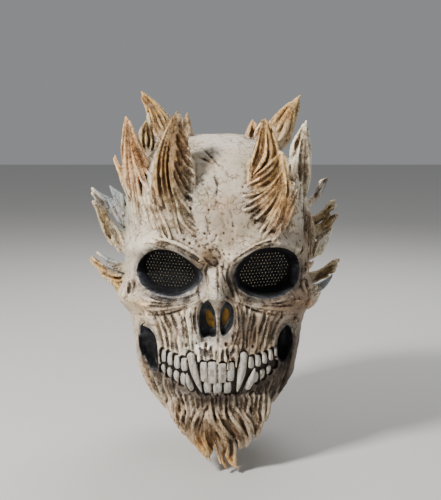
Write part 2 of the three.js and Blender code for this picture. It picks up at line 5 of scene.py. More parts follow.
import bmesh
import bpy
import numpy as np
import openvdb
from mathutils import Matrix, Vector, kdtree


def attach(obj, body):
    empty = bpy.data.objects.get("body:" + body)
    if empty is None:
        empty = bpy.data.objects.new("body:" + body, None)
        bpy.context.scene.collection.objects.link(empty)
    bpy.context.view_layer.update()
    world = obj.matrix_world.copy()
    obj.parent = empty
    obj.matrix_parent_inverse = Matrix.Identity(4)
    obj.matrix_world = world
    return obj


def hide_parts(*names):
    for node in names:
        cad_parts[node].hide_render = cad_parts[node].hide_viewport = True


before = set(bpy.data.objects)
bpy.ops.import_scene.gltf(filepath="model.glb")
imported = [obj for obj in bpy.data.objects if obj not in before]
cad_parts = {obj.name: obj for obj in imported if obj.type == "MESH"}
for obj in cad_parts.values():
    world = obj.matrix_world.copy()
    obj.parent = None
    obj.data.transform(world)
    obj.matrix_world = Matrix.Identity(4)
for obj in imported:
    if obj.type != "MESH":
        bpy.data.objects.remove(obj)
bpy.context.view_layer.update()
rng = np.random.default_rng(915)

# Camera and studio: the camera looks down on the face by 8 degrees from about a metre, as in the photo,
# over a plain pale floor. One soft lamp stands high on the left, a weak one fills from the right, and a
# third lights the edges from behind.
PHOTO_WIDTH, PHOTO_HEIGHT, FOCAL_PIXELS = 441, 500, 955
target = Vector((0.0035, 0.0, -0.124))
elevation = math.radians(8)
camera_data = bpy.data.cameras.new("camera")
camera_data.lens = FOCAL_PIXELS * camera_data.sensor_width / PHOTO_HEIGHT
camera = bpy.data.objects.new("camera", camera_data)
bpy.context.collection.objects.link(camera)
camera.location = target + 1.05 * Vector((0, -math.cos(elevation), math.sin(elevation)))
camera.rotation_euler = (target - camera.location).to_track_quat("-Z", "Y").to_euler()
bpy.context.scene.camera = camera

floor_mesh = bpy.data.meshes.new("floor")
floor_corners = [(-4, -3, -0.333), (4, -3, -0.333), (4, 6, -0.333), (-4, 6, -0.333)]
floor_mesh.from_pydata(floor_corners, [], [(0, 1, 2, 3)])
floor = bpy.data.objects.new("floor", floor_mesh)
bpy.context.collection.objects.link(floor)
floor_paint = bpy.data.materials.new("floor_paint")
floor_paint.use_nodes = True
floor_paint.node_tree.nodes["Principled BSDF"].inputs["Base Color"].default_value = (0.62, 0.61, 0.59, 1)
floor_paint.node_tree.nodes["Principled BSDF"].inputs["Roughness"].default_value = 0.9
floor_mesh.materials.append(floor_paint)

for name, place, size, power, tint in [
    ("key", (-1.0, -0.85, 0.9), 0.3, 46, (1.0, 0.97, 0.93)),
    ("fill", (1.2, -1.3, 0.1), 1.2, 1.2, (1.0, 0.94, 0.88)),
    ("rim", (0.3, 0.9, 0.9), 0.8, 12, (1.0, 1.0, 1.0)),
]:
    lamp = bpy.data.lights.new(name, "AREA")
    lamp.size, lamp.energy, lamp.color = size, power, tint
    lamp_object = bpy.data.objects.new(name, lamp)
    bpy.context.collection.objects.link(lamp_object)
    lamp_object.location = place
    lamp_object.rotation_euler = (target - lamp_object.location).to_track_quat("-Z", "Y").to_euler()

world = bpy.data.worlds.new("studio")
world.use_nodes = True
world.node_tree.nodes["Background"].inputs["Color"].default_value = (0.9, 0.92, 0.95, 1)
world.node_tree.nodes["Background"].inputs["Strength"].default_value = 0.29
bpy.context.scene.world = world

# Casting, the head: one hollow latex casting, sculpted here in millimetres as a field of distances from its
# skin, negative inside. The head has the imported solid's rounded sections: shares of the drop, then of the
# half width and of the two depths. The rim climbs from the chin to the nape.
WALL, HALF_WIDTH, CROWN_RISE, FACE_DROP, NAPE_DROP = 3, 99, 98, 195, 133
FACE_DEPTH, BACK_DEPTH, SQUARENESS = 112, 108, 2.5
WIDEST = WALL - CROWN_RISE
SECTIONS = np.array([
    (0.0, 1.0, 0.96, 1.0),
    (0.154, 1.01, 0.98, 0.99),
    (0.308, 1.0, 0.98, 0.96),
    (0.436, 0.965, 1.0, 0.91),
    (0.559, 0.93, 1.03, 0.86),
    (0.682, 0.89, 1.05, 0.82),
    (0.805, 0.81, 1.06, 0.8),
    (0.897, 0.68, 1.05, 0.78),
    (0.954, 0.62, 1.03, 0.77),
    (1.0, 0.56, 1.0, 0.76),
])
RIM = np.array([(0, 1.0), (25, 0.9), (37, 0.71), (56, 0.39), (72, 0.19), (90, 0.065), (180, 0.0)])
VOXEL = 1.05
LOW, HIGH = np.array([-150.0, -146.0, -338.0]), np.array([142.0, 120.0, 58.0])
shape = np.ceil((HIGH - LOW) / VOXEL).astype(int)
gx = (LOW[0] + VOXEL * np.arange(shape[0])).astype(np.float32)[:, None, None]
gy = (LOW[1] + VOXEL * np.arange(shape[1])).astype(np.float32)[None, :, None]
gz = (LOW[2] + VOXEL * np.arange(shape[2])).astype(np.float32)[None, None, :]


def along(table, column, place):
    """A smooth value between the rows of a table."""
    x, y = table[:, 0], table[:, column]
    slope = np.gradient(y, x)
    i = np.clip(np.searchsorted(x, place, side="right") - 1, 0, len(x) - 2)
    span = x[i + 1] - x[i]
    t = np.clip((place - x[i]) / span, 0, 1)
    ends = (2 * t**3 - 3 * t**2 + 1) * y[i] + (3 * t**2 - 2 * t**3) * y[i + 1]
    slopes = (t**3 - 2 * t**2 + t) * slope[i] + (t**3 - t**2) * slope[i + 1]
    return (ends + slopes * span).astype(np.float32)


def swell(x, y, z):
    """How many times too far out a place lies for the bare head, and its distance from the head's axis."""
    share = np.clip(WIDEST - z, 0, FACE_DROP) / FACE_DROP
    rise = np.maximum(z - WIDEST, 0)
    width = HALF_WIDTH * along(SECTIONS, 1, share)
    depth = np.where(y < 0, FACE_DEPTH * along(SECTIONS, 2, share), BACK_DEPTH * along(SECTIONS, 3, share))
    total = (np.abs(x) / width) ** SQUARENESS + (np.abs(y) / depth) ** SQUARENESS
    total = np.maximum(total + (rise / CROWN_RISE) ** SQUARENESS, 1e-6)
    return total ** (1 / SQUARENESS), np.sqrt(x * x + y * y + rise * rise)


def bend(points, count):
    """A smooth curve of so many even points through a few, by cutting corners."""
    points = np.asarray(points, float)
    for _ in range(3):
        cut = np.stack([points[:-1] * 0.75 + points[1:] * 0.25, points[:-1] * 0.25 + points[1:] * 0.75], 1)
        points = np.concatenate([points[:1], cut.reshape(-1, points.shape[1]), points[-1:]])
    steps = np.concatenate([[0], np.cumsum(np.linalg.norm(np.diff(points, axis=0), axis=1))])
    at = np.linspace(0, steps[-1], count)
    return np.stack([np.interp(at, steps, column) for column in points.T], 1)


def off_segment(x, z, start, end):
    """Distance from a segment in the front view."""
    dx, dz = end[0] - start[0], end[1] - start[1]
    t = np.clip(((x - start[0]) * dx + (z - start[1]) * dz) / max(dx * dx + dz * dz, 1e-9), 0, 1)
    return np.hypot(x - start[0] - t * dx, z - start[1] - t * dz)


# Casting, the bone: broad forms of a skull stand out of the head by up to 12 mm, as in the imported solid.
# Each row runs from one place to another, in shares of the half width and of the face's drop, with its
# spread and height. Pits and scratches from the modelling tool are scattered over them.
RELIEF_HEIGHT = 12
bones = [
    (0.82, 0.08, 0.5, 0.02, 0.1, 0.75),
    (0.5, 0.02, 0.16, 0.11, 0.1, 0.95),
    (0.0, 0.05, 0.0, 0.08, 0.12, 0.35),
    (0.0, 0.14, 0.0, 0.14, 0.08, -0.4),
    (0.0, 0.2, 0.0, 0.3, 0.1, 1.0),
    (0.2, 0.34, 0.17, 0.5, 0.07, 0.5),
    (0.0, 0.56, 0.0, 0.62, 0.16, 0.45),
    (0.0, 0.7, 0.55, 0.64, 0.14, 0.5),
    (0.55, 0.34, 0.97, 0.36, 0.11, 0.85),
    (0.98, 0.42, 0.98, 0.42, 0.08, 0.5),
    (0.42, 0.45, 0.42, 0.5, 0.14, -0.4),
    (0.74, 0.78, 0.36, 0.92, 0.1, 0.3),
    (0.0, 0.9, 0.0, 0.93, 0.22, 0.4),
    (0.33, -0.2, 0.33, -0.2, 0.3, 0.25),
]
MAP_STEP, SCRATCH_COUNT, PIT_COUNT = 0.5, 420, 150
map_x = np.arange(-112, 112.1, MAP_STEP)[:, None]
map_z = np.arange(-302, 12.1, MAP_STEP)[None, :]
bone_map = np.zeros((map_x.size, map_z.size), np.float32)
for x1, d1, x2, d2, spread, height in bones:
    start, end = (x1 * HALF_WIDTH, WIDEST - d1 * FACE_DROP), (x2 * HALF_WIDTH, WIDEST - d2 * FACE_DROP)
    away = off_segment(np.abs(map_x), map_z, start, end) / (spread * HALF_WIDTH)
    bone_map += RELIEF_HEIGHT * height * np.exp(-(away**2))


def scratch(path, width, depth):
    """Presses one short groove into the map of the bone's marks."""
    reach = 2.2 * width
    i = slice(*np.searchsorted(map_x[:, 0], (path[:, 0].min() - reach, path[:, 0].max() + reach)))
    j = slice(*np.searchsorted(map_z[0], (path[:, 1].min() - reach, path[:, 1].max() + reach)))
    away = np.min([off_segment(map_x[i], map_z[:, j], a, b) for a, b in zip(path[:-1], path[1:])], axis=0)
    marks[i, j] = np.minimum(marks[i, j], -depth * np.exp(-((away / width) ** 2)))


marks = np.zeros_like(bone_map)
for _ in range(SCRATCH_COUNT):
    start, turn = rng.uniform((-92, -296), (92, -6)), rng.normal(np.pi / 2, 0.7)
    step = np.array([np.cos(turn), np.sin(turn)]) * rng.uniform(1.5, 6)
    path = np.array([start, start + step / 2 + rng.normal(0, 0.8, 2), start + step])
    scratch(path, rng.uniform(0.7, 1.1), rng.uniform(0.3, 1.0))
for n in range(PIT_COUNT):
    start = rng.uniform((-92, -240), (92, -20)) if n % 2 else rng.normal((-6, -108), (13, 10))
    scratch(np.array([start, start + (0.4, -0.5)]), rng.uniform(0.7, 1.3), rng.uniform(1.0, 2.4))


def on_map(values, x, z):
    """The map's value at places on the face."""
    u = np.clip((x - map_x[0, 0]) / MAP_STEP, 0, values.shape[0] - 1.001)
    v = np.clip((z - map_z[0, 0]) / MAP_STEP, 0, values.shape[1] - 1.001)
    i, j = u.astype(np.int32), v.astype(np.int32)
    u, v = u - i, v - j
    low = values[i, j] * (1 - v) + values[i, j + 1] * v
    return low * (1 - u) + (values[i + 1, j] * (1 - v) + values[i + 1, j + 1] * v) * u


def head_distance(x, y, z, relief):
    """Distance outside the head along its radius. The relief fades out towards the back."""
    times, radius = swell(x, y, z)
    height = on_map(relief, x / times, WIDEST + (z - WIDEST) / np.where(z > WIDEST, times, 1))
    fore = np.clip(-y / np.maximum(radius, 1e-3) / 0.3, 0, 1)
    return radius * (1 - 1 / times) - height * fore * fore * (3 - 2 * fore)


def on_head(places):
    """Slides places forwards or back until they lie on the bare head."""
    for _ in range(5):
        places[:, 1] += 1.1 * head_distance(*places.T, bone_map)
    return places


def lumps(size, height):
    """Soft unevenness over the whole field, as hand modelling leaves it."""
    values = rng.normal(0, height, np.ceil((HIGH - LOW) / size).astype(int) + 2).astype(np.float32)
    for axis in range(3):
        at = (np.arange(shape[axis]) * VOXEL / size).astype(np.float32)
        cell = at.astype(int)
        part = (at - cell).reshape([-1 if k == axis else 1 for k in range(3)])
        values = values.take(cell, axis) * (1 - part) + values.take(cell + 1, axis) * part
    return values


NEAR_SKIN = 26
times, radius = swell(gx, gy, gz)
skin = (radius * (1 - 1 / times)).astype(np.float32)
del times, radius
hollow = skin.copy()
near = np.nonzero(np.abs(skin) < NEAR_SKIN)
places = gx[near[0], 0, 0], gy[0, near[1], 0], gz[0, 0, near[2]]
skin[near] = head_distance(*places, bone_map + marks)
hollow[near] = head_distance(*places, np.minimum(bone_map, 0) + 0.5 * np.maximum(bone_map, 0))
del near, places
skin += lumps(15, 0.55) + lumps(6, 0.32)
rim_turn = np.degrees(np.arctan2(np.abs(gx), -gy))
rim_level = WIDEST - NAPE_DROP - (FACE_DROP - NAPE_DROP) * along(RIM, 1, rim_turn)
skin = np.maximum(skin, rim_level - gz)
hollow += WALL + 0.8

# Casting, strokes: carved lines are traced as the camera sees them, in the photo's pixels from the left
# and the top. Each is followed along its ray to the form that it lies on. A family is the strokes between
# its first line and its last.
SEAM_PIXEL, NEAREST, FARTHEST = 217.5, 900.0, 1200.0
camera_at = np.array(camera.location) * 1000
camera_axes = np.array(camera.rotation_euler.to_matrix()).T


def sample(values, at):
    """Values of a field at places in millimetres."""
    u = np.clip((at - LOW) / VOXEL, 0, np.array(values.shape) - 1.001)
    i = u.astype(int)
    u = (u - i).astype(np.float32)
    total = np.zeros(len(at), np.float32)
    for corner in np.ndindex(2, 2, 2):
        total += np.prod(np.where(corner, u, 1 - u), axis=1) * values[tuple((i + corner).T)]
    return total


def seen_at(pixels, form, follow=False):
    """Where pixels lie on a form: the first place inside it on their ray, or the ray's nearest pass.

    A stroke that is followed is walked from its end to its start, and keeps to the form that it began on.
    """
    across, up = pixels[:, 0] - PHOTO_WIDTH / 2, PHOTO_HEIGHT / 2 - pixels[:, 1]
    rays = across[:, None] * camera_axes[0] + up[:, None] * camera_axes[1] - FOCAL_PIXELS * camera_axes[2]
    rays /= np.linalg.norm(rays, axis=1)[:, None]
    steps = np.arange(NEAREST, FARTHEST)
    depth = sample(form, (camera_at + rays[:, None] * steps[None, :, None]).reshape(-1, 3))
    depth = depth.reshape(len(rays), -1)
    hit = np.where((depth < 0).any(1), (depth < 0).argmax(1), depth.argmin(1))
    if follow:
        for n in range(len(rays) - 2, -1, -1):
            last = hit[n] if depth[n, hit[n]] < 0 else len(steps) - 1
            stray = np.abs(np.arange(last + 1) - hit[n + 1])
            hit[n] = (np.maximum(depth[n, : last + 1], 0) + 0.6 * stray).argmin()
    rows = np.arange(len(rays))
    hit = hit + (depth[rows, np.minimum(hit + 1, len(steps) - 1)] < 0) * (depth[rows, hit] >= 0)
    here, before = depth[rows, hit], np.maximum(depth[rows, hit - 1], 0)
    back = np.where(here < 0, before / np.maximum(before - here, 1e-3) - 1, 0)
    return camera_at + rays * (steps[hit] + back)[:, None]


STROKE_POINTS, THINNEST, WIDEST_RIDGE, WIDEST_GAP, CLOSEST = 13, 1.25, 4, 2.8, 2.4


def family(first, last, count, spread=0.32, mirror=False):
    """Strokes spread evenly from a first line to a last, with their widths, and the gaps between them."""
    first, last = bend(first, STROKE_POINTS), bend(last, STROKE_POINTS)
    at = np.arange(STROKE_POINTS)
    gap = np.linalg.norm(last - first, axis=1) / max(count - 1, 1)
    ridges, gaps = [], []
    for side in (1, -1) if mirror else (1,):
        for n in range(2 * count - 1):
            share = np.clip((n / 2 + rng.uniform(-0.12, 0.12)) / max(count - 1, 1), 0, 1)
            path = first * (1 - share) + last * share
            wobble = rng.normal(0, 0.28 if mirror else 0.16, 5)
            path[:, 0] += np.interp(at, (0, 3, 6, 9, 12), wobble) * np.clip(gap, 2, 6)
            if side < 0:
                path[:, 0] = 2 * SEAM_PIXEL - path[:, 0]
            if n % 2:
                cut = rng.integers(0, 3)
                widths = spread * gap * np.interp(at, (0, 4, 8, 12), rng.uniform(0.7, 1.3, 4))
                if gap[6] > CLOSEST:
                    gaps.append((path[cut:], np.clip(widths, THINNEST, WIDEST_GAP)[cut:]))
            else:
                cut = STROKE_POINTS - rng.integers(0, 4)
                widths = 0.6 * gap * np.interp(at, (0, 4, 8, 12), rng.uniform(0.8, 1.2, 4))
                ridges.append((path[:cut], np.clip(widths, THINNEST, WIDEST_RIDGE)[:cut]))
    return ridges, gaps


def merged(a, b, blend):
    """Two forms melted into one."""
    return np.minimum(a, b) - np.maximum(blend - np.abs(a - b), 0) ** 2 / (4 * blend)


def round_segment(a, b, ra, rb, reach, flat):
    """The part of the field near one segment of a strand, and its distances from the strand's side."""
    lo = np.clip(((np.minimum(a, b) - reach - LOW) / VOXEL).astype(int), 0, shape)
    hi = np.clip(((np.maximum(a, b) + reach - LOW) / VOXEL).astype(int) + 2, 0, shape)
    i, j, k = (slice(l, h) for l, h in zip(lo, hi))
    x, y, z = gx[i] - a[0], (gy[:, j] - a[1]) / flat, gz[:, :, k] - a[2]
    dx, dy, dz = b[0] - a[0], (b[1] - a[1]) / flat, b[2] - a[2]
    t = np.clip((x * dx + y * dy + z * dz) / max(dx * dx + dy * dy + dz * dz, 1e-6), 0, 1)
    away = np.sqrt((x - t * dx) ** 2 + (y - t * dy) ** 2 + (z - t * dz) ** 2) - (ra + t * (rb - ra))
    return (i, j, k), away


def lay(form, path, radii, blend, flat=1.0):
    """Melts a strand of varying radius into a form. Less than 1 flattens it from front to back."""
    path, radii = np.asarray(path, np.float32), np.asarray(radii, np.float32)
    for a, b, ra, rb in zip(path[:-1], path[1:], radii[:-1], radii[1:]):
        part, away = round_segment(a, b, ra, rb, max(ra, rb) + blend + 1, flat)
        form[part] = merged(form[part], away, blend)


def groove(form, path, radii):
    """Scoops a strand of varying radius out of a form, and keeps its line for the paint."""
    path, radii = np.asarray(path, np.float32), np.asarray(radii, np.float32)
    fine = np.linspace(0, len(path) - 1, 6 * len(path))
    at_fine = [np.interp(fine, np.arange(len(path)), column) for column in (*path.T, radii)]
    groove_lines.append((np.stack(at_fine[:3], 1), at_fine[3]))
    for a, b, ra, rb in zip(path[:-1], path[1:], radii[:-1], radii[1:]):
        part, away = round_segment(a, b, ra, rb, max(ra, rb) + 2, 1.0)
        form[part] = np.maximum(form[part], -away)


groove_lines = []


def stretches(points, surface, free):
    """The stretches of a traced stroke that lie on one form: it is parted where it leaps or hangs free."""
    steps = np.linalg.norm(np.diff(points, axis=0), axis=1)
    leaps = steps > 2.2 * np.median(steps) + 2
    near = sample(surface, points) < free
    leaps |= ~(near[1:] & near[:-1])
    return [run for run in np.split(np.arange(len(points)), np.nonzero(leaps)[0] + 1) if len(run) > 2]


def smoothed(points, rounds):
    """A stroke without its jitter, with its ends kept."""
    for _ in range(rounds):
        points[1:-1] = points[1:-1] * 0.5 + (points[:-2] + points[2:]) * 0.25
    return points


def carve(form, surface, families, blend, ends, proud=0.0, free=4.0):
    """Lays families of ridges on a surface, thinned towards both ends, and scoops out the gaps between."""
    for ridges, _ in families:
        for path, radii in ridges:
            traced = seen_at(path, surface, follow=True)
            for run in stretches(traced, surface, free):
                points = smoothed(traced[run], 2)
                points[:, 1] += proud * radii[run]
                place = np.linspace(0, 1, len(run))
                thinned = np.interp(place, (0, 0.2, 0.75, 1), (ends[0], 1, 0.9, ends[1]))
                lay(form, points, radii[run] * thinned, blend)
    gaps = [gap for _, gaps in families for gap in gaps]
    lines = [seen_at(path, form, follow=True) for path, _ in gaps]
    lines = [(traced, stretches(traced, form, free)) for traced in lines]
    for (traced, runs), (_, radii) in zip(lines, gaps):
        for run in runs:
            thinned = np.interp(np.linspace(0, 1, len(run)), (0, 0.15, 0.85, 1), (0.5, 1, 1, 0.3))
            groove(form, smoothed(traced[run], 3), radii[run] * thinned)


# Casting, face ridges: folds of shrunken skin between cheekbone and gum, round the sockets and the nose, and
# from the gum to the beard. They are the same on both sides. Cracks and creases are scooped out with the
# loop of a modelling tool.
face_ridges = [
    ([(146, 312), (155, 322), (160, 336), (161, 351)], [(172, 311), (178, 330), (181, 358)], 5),
    ([(176, 311), (182, 330), (185, 359)], [(192, 306), (193, 332), (196, 363)], 4),
    ([(198, 346), (199, 364)], [(214, 347), (214, 365)], 4),
    (
        [(128, 305), (142, 309), (160, 308), (180, 307), (197, 301)],
        [(140, 297), (158, 303), (178, 303), (195, 297)], 3,
    ),
    (
        [(142, 288), (156, 297), (172, 300), (190, 297), (199, 290)],
        [(141, 292), (157, 302), (175, 304), (195, 297)], 3,
    ),
    (
        [(128, 244), (145, 237), (165, 240), (185, 247), (203, 260)],
        [(136, 248), (152, 243), (168, 246), (202, 267)], 3,
    ),
    (
        [(139, 330), (141, 352), (147, 375), (159, 398), (170, 415)],
        [(160, 376), (163, 388), (170, 402), (178, 416)], 5,
    ),
    ([(161, 376), (166, 390), (175, 408)], [(185, 392), (188, 402), (192, 414)], 6),
    ([(186, 394), (189, 404), (193, 416)], [(217, 400), (217, 410), (217, 422)], 7),
    ([(124, 262), (125, 280), (122, 298)], [(130, 262), (131, 278), (129, 296)], 2),
    ([(122, 300), (129, 315), (140, 322), (152, 322)], [(124, 308), (131, 320), (142, 326), (152, 328)], 2),
    (
        [(200, 304), (198, 314), (198, 330), (204, 342)],
        [(208, 299), (202, 305), (199, 315), (199, 330), (202, 341)], 2,
    ),
]
carve(skin, skin.copy(), [family(*row, mirror=True) for row in face_ridges], 0.9, (0.4, 0.4), -0.1)
cracks = [
    ([(146, 243), (158, 246), (170, 250)], 1.5),
    ([(152, 238), (160, 242), (168, 246)], 0.9),
    ([(272, 249), (262, 245), (254, 246)], 1.4),
    ([(217, 262), (218, 280), (218, 299)], 1.15),
    ([(218, 304), (219, 325), (218, 345), (218, 365)], 1.2),
    ([(229, 264), (227, 278), (232, 290), (236, 303)], 2.1),
    ([(233, 276), (237, 290), (241, 302)], 1.3),
    ([(237, 305), (240, 318), (239, 332), (234, 346)], 1.6),
    ([(204, 264), (199, 276), (197, 288), (200, 301)], 1.5),
    ([(209, 262), (205, 272), (207, 284)], 1.2),
    ([(197, 303), (194, 316), (195, 330), (199, 343)], 1.5),
    ([(221, 266), (225, 270), (229, 269)], 1.3),
    ([(222, 284), (224, 292), (228, 299)], 1.2),
    ([(204, 257), (212, 266), (219, 264)], 1.2),
    ([(199, 302), (180, 311), (160, 316), (138, 314)], 1.2),
    ([(236, 302), (255, 311), (275, 316), (297, 314)], 1.2),
    ([(201, 147), (207, 153), (214, 160), (219, 166)], 1.2),
    ([(199, 157), (206, 160), (213, 164)], 1.1),
    ([(214, 176), (218, 185), (216, 196)], 1.0),
    ([(224, 262), (222, 272), (226, 282)], 1.0),
    ([(206, 272), (209, 281), (206, 291)], 1.0),
    ([(212, 246), (219, 252), (224, 260)], 1.0),
    ([(226, 205), (232, 214), (233, 226)], 0.7),
    ([(205, 215), (209, 228), (206, 240)], 0.7),
]
for pixels, radius in cracks:
    path = seen_at(bend(pixels, 12), skin)
    groove(skin, path, radius * np.interp(np.linspace(0, 1, 12), (0, 0.4, 1), (0.3, 1.1, 0.3)))
pits = [(189, 351), (206, 344), (208, 352), (226, 344), (244, 349), (233, 336), (196, 356), (186, 344)]
pits += [(228, 356)]
for pixel in pits:
    spot = seen_at(np.array([pixel], float), skin)[0]
    groove(skin, [spot, spot + (0.4, 0.5, -2.4)], [1.7, 1.3])

# Casting, the mouth: a trench between the gum lines, in which every tooth is a peg of its own. The rows give
# the tooth's gum end and edge as shares of the half width and of the face's drop, its width in millimetres,
# and 1 for a fang.
FLOOR_WALL, GUM_FLAP = 1.8, 4.2
gum_line = [(159, 351), (167, 351), (175, 355), (182, 359), (190, 361), (202, 366), (212, 365), (222, 367)]
gum_line += [(232, 365), (242, 360), (255, 357), (267, 355), (278, 350)]
chin_line = [(279, 365), (273, 372), (264, 380), (254, 386), (243, 391), (232, 396), (220, 397), (209, 396)]
chin_line += [(197, 395), (186, 391), (176, 385), (167, 378), (159, 369)]
mouth_edge = seen_at(np.array(gum_line + chin_line, float), skin)[:, (0, 2)]


def outline(corners, x, z):
    """Signed distance in the front view from a closed outline, negative inside it."""
    away = np.full(np.broadcast(x, z).shape, 1e9, np.float32)
    inside = np.zeros(away.shape, bool)
    for a, b in zip(corners, np.roll(corners, -1, axis=0)):
        away = np.minimum(away, off_segment(x, z, a, b))
        if a[1] != b[1]:
            inside ^= ((a[1] > z) != (b[1] > z)) & (x < (b[0] - a[0]) * (z - a[1]) / (b[1] - a[1]) + a[0])
    return np.where(inside, -away, away).astype(np.float32)


teeth_rows = [
    (-0.05, 0.642, -0.046, 0.735, 9.8, 0),
    (0.058, 0.648, 0.054, 0.73, 8.6, 0),
    (-0.14, 0.642, -0.13, 0.728, 7.6, 0),
    (0.15, 0.642, 0.142, 0.726, 6.8, 0),
    (-0.262, 0.612, -0.15, 0.79, 10.4, 1),
    (0.27, 0.61, 0.2, 0.79, 10.4, 1),
    (-0.345, 0.628, -0.335, 0.676, 7.2, 0),
    (-0.418, 0.618, -0.41, 0.668, 6.8, 0),
    (-0.487, 0.606, -0.482, 0.655, 6.2, 0),
    (-0.55, 0.596, -0.548, 0.643, 5.8, 0),
    (0.352, 0.622, 0.352, 0.664, 6.6, 0),
    (0.425, 0.616, 0.424, 0.658, 6.4, 0),
    (0.492, 0.606, 0.492, 0.648, 6.0, 0),
    (0.556, 0.594, 0.555, 0.636, 5.6, 0),
    (0.608, 0.584, 0.608, 0.622, 4.6, 0),
    (-0.094, 0.796, -0.098, 0.744, 7.8, 0),
    (0.006, 0.8, 0.006, 0.748, 8.8, 0),
    (0.11, 0.796, 0.112, 0.746, 7.6, 0),
    (-0.258, 0.775, -0.29, 0.69, 7.0, 1),
    (0.31, 0.772, 0.369, 0.67, 8.2, 1),
    (-0.352, 0.758, -0.345, 0.71, 7.0, 0),
    (-0.424, 0.742, -0.418, 0.7, 6.8, 0),
    (-0.492, 0.724, -0.488, 0.688, 6.4, 0),
    (-0.555, 0.706, -0.552, 0.674, 5.8, 0),
    (0.4, 0.748, 0.4, 0.704, 6.4, 0),
    (0.468, 0.732, 0.468, 0.692, 6.2, 0),
    (0.534, 0.71, 0.533, 0.676, 5.8, 0),
    (0.592, 0.682, 0.593, 0.656, 4.8, 0),
]
teeth_ends = np.array([(x, drop, tip_x, tip_drop) for x, drop, tip_x, tip_drop, _, _ in teeth_rows])
teeth_ends = teeth_ends * (HALF_WIDTH, -FACE_DROP, HALF_WIDTH, -FACE_DROP) + (0, WIDEST, 0, WIDEST)
mouth = outline(mouth_edge, gx[:, 0], gz[0]) + GUM_FLAP
for ends, row in zip(teeth_ends, teeth_rows):
    mouth = np.minimum(mouth, off_segment(gx[:, 0], gz[0], ends[:2], ends[2:]) - row[4] * 0.46 - 0.6)
mouth = mouth[:, None, :].astype(np.float32)
skin = np.maximum(skin, -np.maximum(np.maximum(mouth, FLOOR_WALL - hollow), gy + 20))
JAW_WIDTH, JAW_TURN = 97, 2.2
teeth = np.full(shape, 40, np.float32)
for ends, (_, _, _, _, width, fang) in zip(teeth_ends, teeth_rows):
    line = on_head(np.array([(ends[0], -FACE_DEPTH, ends[1]), (ends[2], -FACE_DEPTH, ends[3])]))
    out = np.array([line[0, 0] / JAW_WIDTH**2 * JAW_TURN, line[0, 1] / FACE_DEPTH**2, 0.0])
    out /= np.linalg.norm(out)
    steps = np.linspace(0, 1, 5)[:, None]
    swell_out = (2.6 if fang else 0.6) * np.sin(steps * 2.4) + (1.6 if fang else -0.4)
    line = line[0] + (line[1] - line[0]) * steps + out * (swell_out - width * 0.25)
    if fang:
        lay(teeth, line, np.array([0.42, 0.44, 0.38, 0.26, 0.09]) * width, 0.4)
        continue
    sideways = np.cross((line[-1] - line[0]) / np.linalg.norm(line[-1] - line[0]), out)
    for shift in (-0.23, 0.0, 0.23):
        lay(teeth, line + sideways * shift * width, np.array([0.22, 0.26, 0.29, 0.29, 0.25]) * width, 0.4)

# Casting, horns: flames of latex that spring from the brow and temples. Each has a core, which follows the
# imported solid's horn: the turn and lift of its root in degrees, then tip and bow as shares of the head's
# half width, face depth and crown rise, the radius as a share of 30 mm, and its paint.
HORN_RADIUS = 30
horns = [
    (-46, 10, (-0.95, 0.4, 1.18), (-0.04, 0.0, 0), 0.8, "rose"),
    (-24, 8, (-0.4, 0.82, 1.23), (-0.03, 0.14, 0), 1.08, "ochre"),
    (-32, 10, (-0.5, 0.93, 0.9), (-0.05, 0.1, 0), 0.46, "ochre"),
    (-107, 58, (-0.84, -0.22, 1.46), (0.04, 0, 0.02), 0.64, "ochre"),
    (-84, 40, (-0.74, 0.13, 1.17), (-0.04, 0, 0), 0.46, "olive"),
    (-50, 66, (-0.32, 0.18, 1.22), (0, 0, 0), 0.22, "ochre"),
    (50, 10, (0.93, 0.4, 1.14), (0.02, 0.0, 0), 0.72, "bone"),
    (24, 14, (0.48, 0.82, 1.16), (0.08, 0.14, 0), 0.88, "amber"),
    (24, 6, (0.62, 0.88, 0.82), (0.14, 0.12, 0), 0.68, "amber"),
    (27, 1, (0.66, 0.93, 0.62), (0.14, 0.1, 0), 0.52, "amber"),
    (104, 51, (0.92, -0.22, 1.42), (-0.04, 0, 0.04), 0.78, "amber"),
    (50, 64, (0.38, 0.18, 1.15), (0, 0, 0), 0.24, "rose"),
]
side_locks = [
    (-86, 18, (-1.12, 0.0, 0.76), (-0.02, 0, 0), 0.2, "rose"),
    (-92, 2, (-1.39, -0.18, 0.37), (0.02, 0, -0.08), 0.7, "slate"),
    (-84, -14, (-1.37, -0.12, 0.2), (0.02, 0, -0.12), 0.62, "olive"),
    (-96, 8, (-1.22, -0.3, 0.4), (0, 0, -0.05), 0.5, "slate"),
    (-92, -32, (-1.44, -0.18, -0.42), (0.02, 0, -0.12), 0.42, "ochre"),
    (-86, -26, (-1.34, -0.26, -0.36), (0, 0, -0.1), 0.34, "slate"),
    (-82, -40, (-1.18, -0.06, -0.6), (0, 0, -0.08), 0.34, "ochre"),
    (86, 12, (1.22, -0.1, 0.5), (0.04, 0, -0.04), 0.24, "slate"),
    (94, 0, (1.32, -0.22, 0.23), (0.02, 0, -0.1), 0.34, "olive"),
    (88, -6, (1.34, -0.18, 0.07), (0.04, 0, -0.1), 0.5, "olive"),
    (84, -18, (1.28, -0.05, -0.07), (0.02, 0, -0.1), 0.48, "bone"),
    (92, -32, (1.34, -0.18, -0.43), (0.03, 0, -0.12), 0.44, "olive"),
    (84, -36, (1.28, 0.0, -0.58), (0.02, 0, -0.1), 0.36, "slate"),
    (84, -42, (1.15, 0.0, -0.78), (0.02, 0, -0.08), 0.28, "bone"),
]
head_scale = np.array([HALF_WIDTH, -FACE_DEPTH, CROWN_RISE])
plain = skin.copy()
locks = np.full(shape, 40, np.float32)
back_strands, spines = [], []
strand_taper = np.interp(np.linspace(0, 1, 11), (0, 0.3, 0.7, 1), (0.6, 1, 0.85, 0.4))
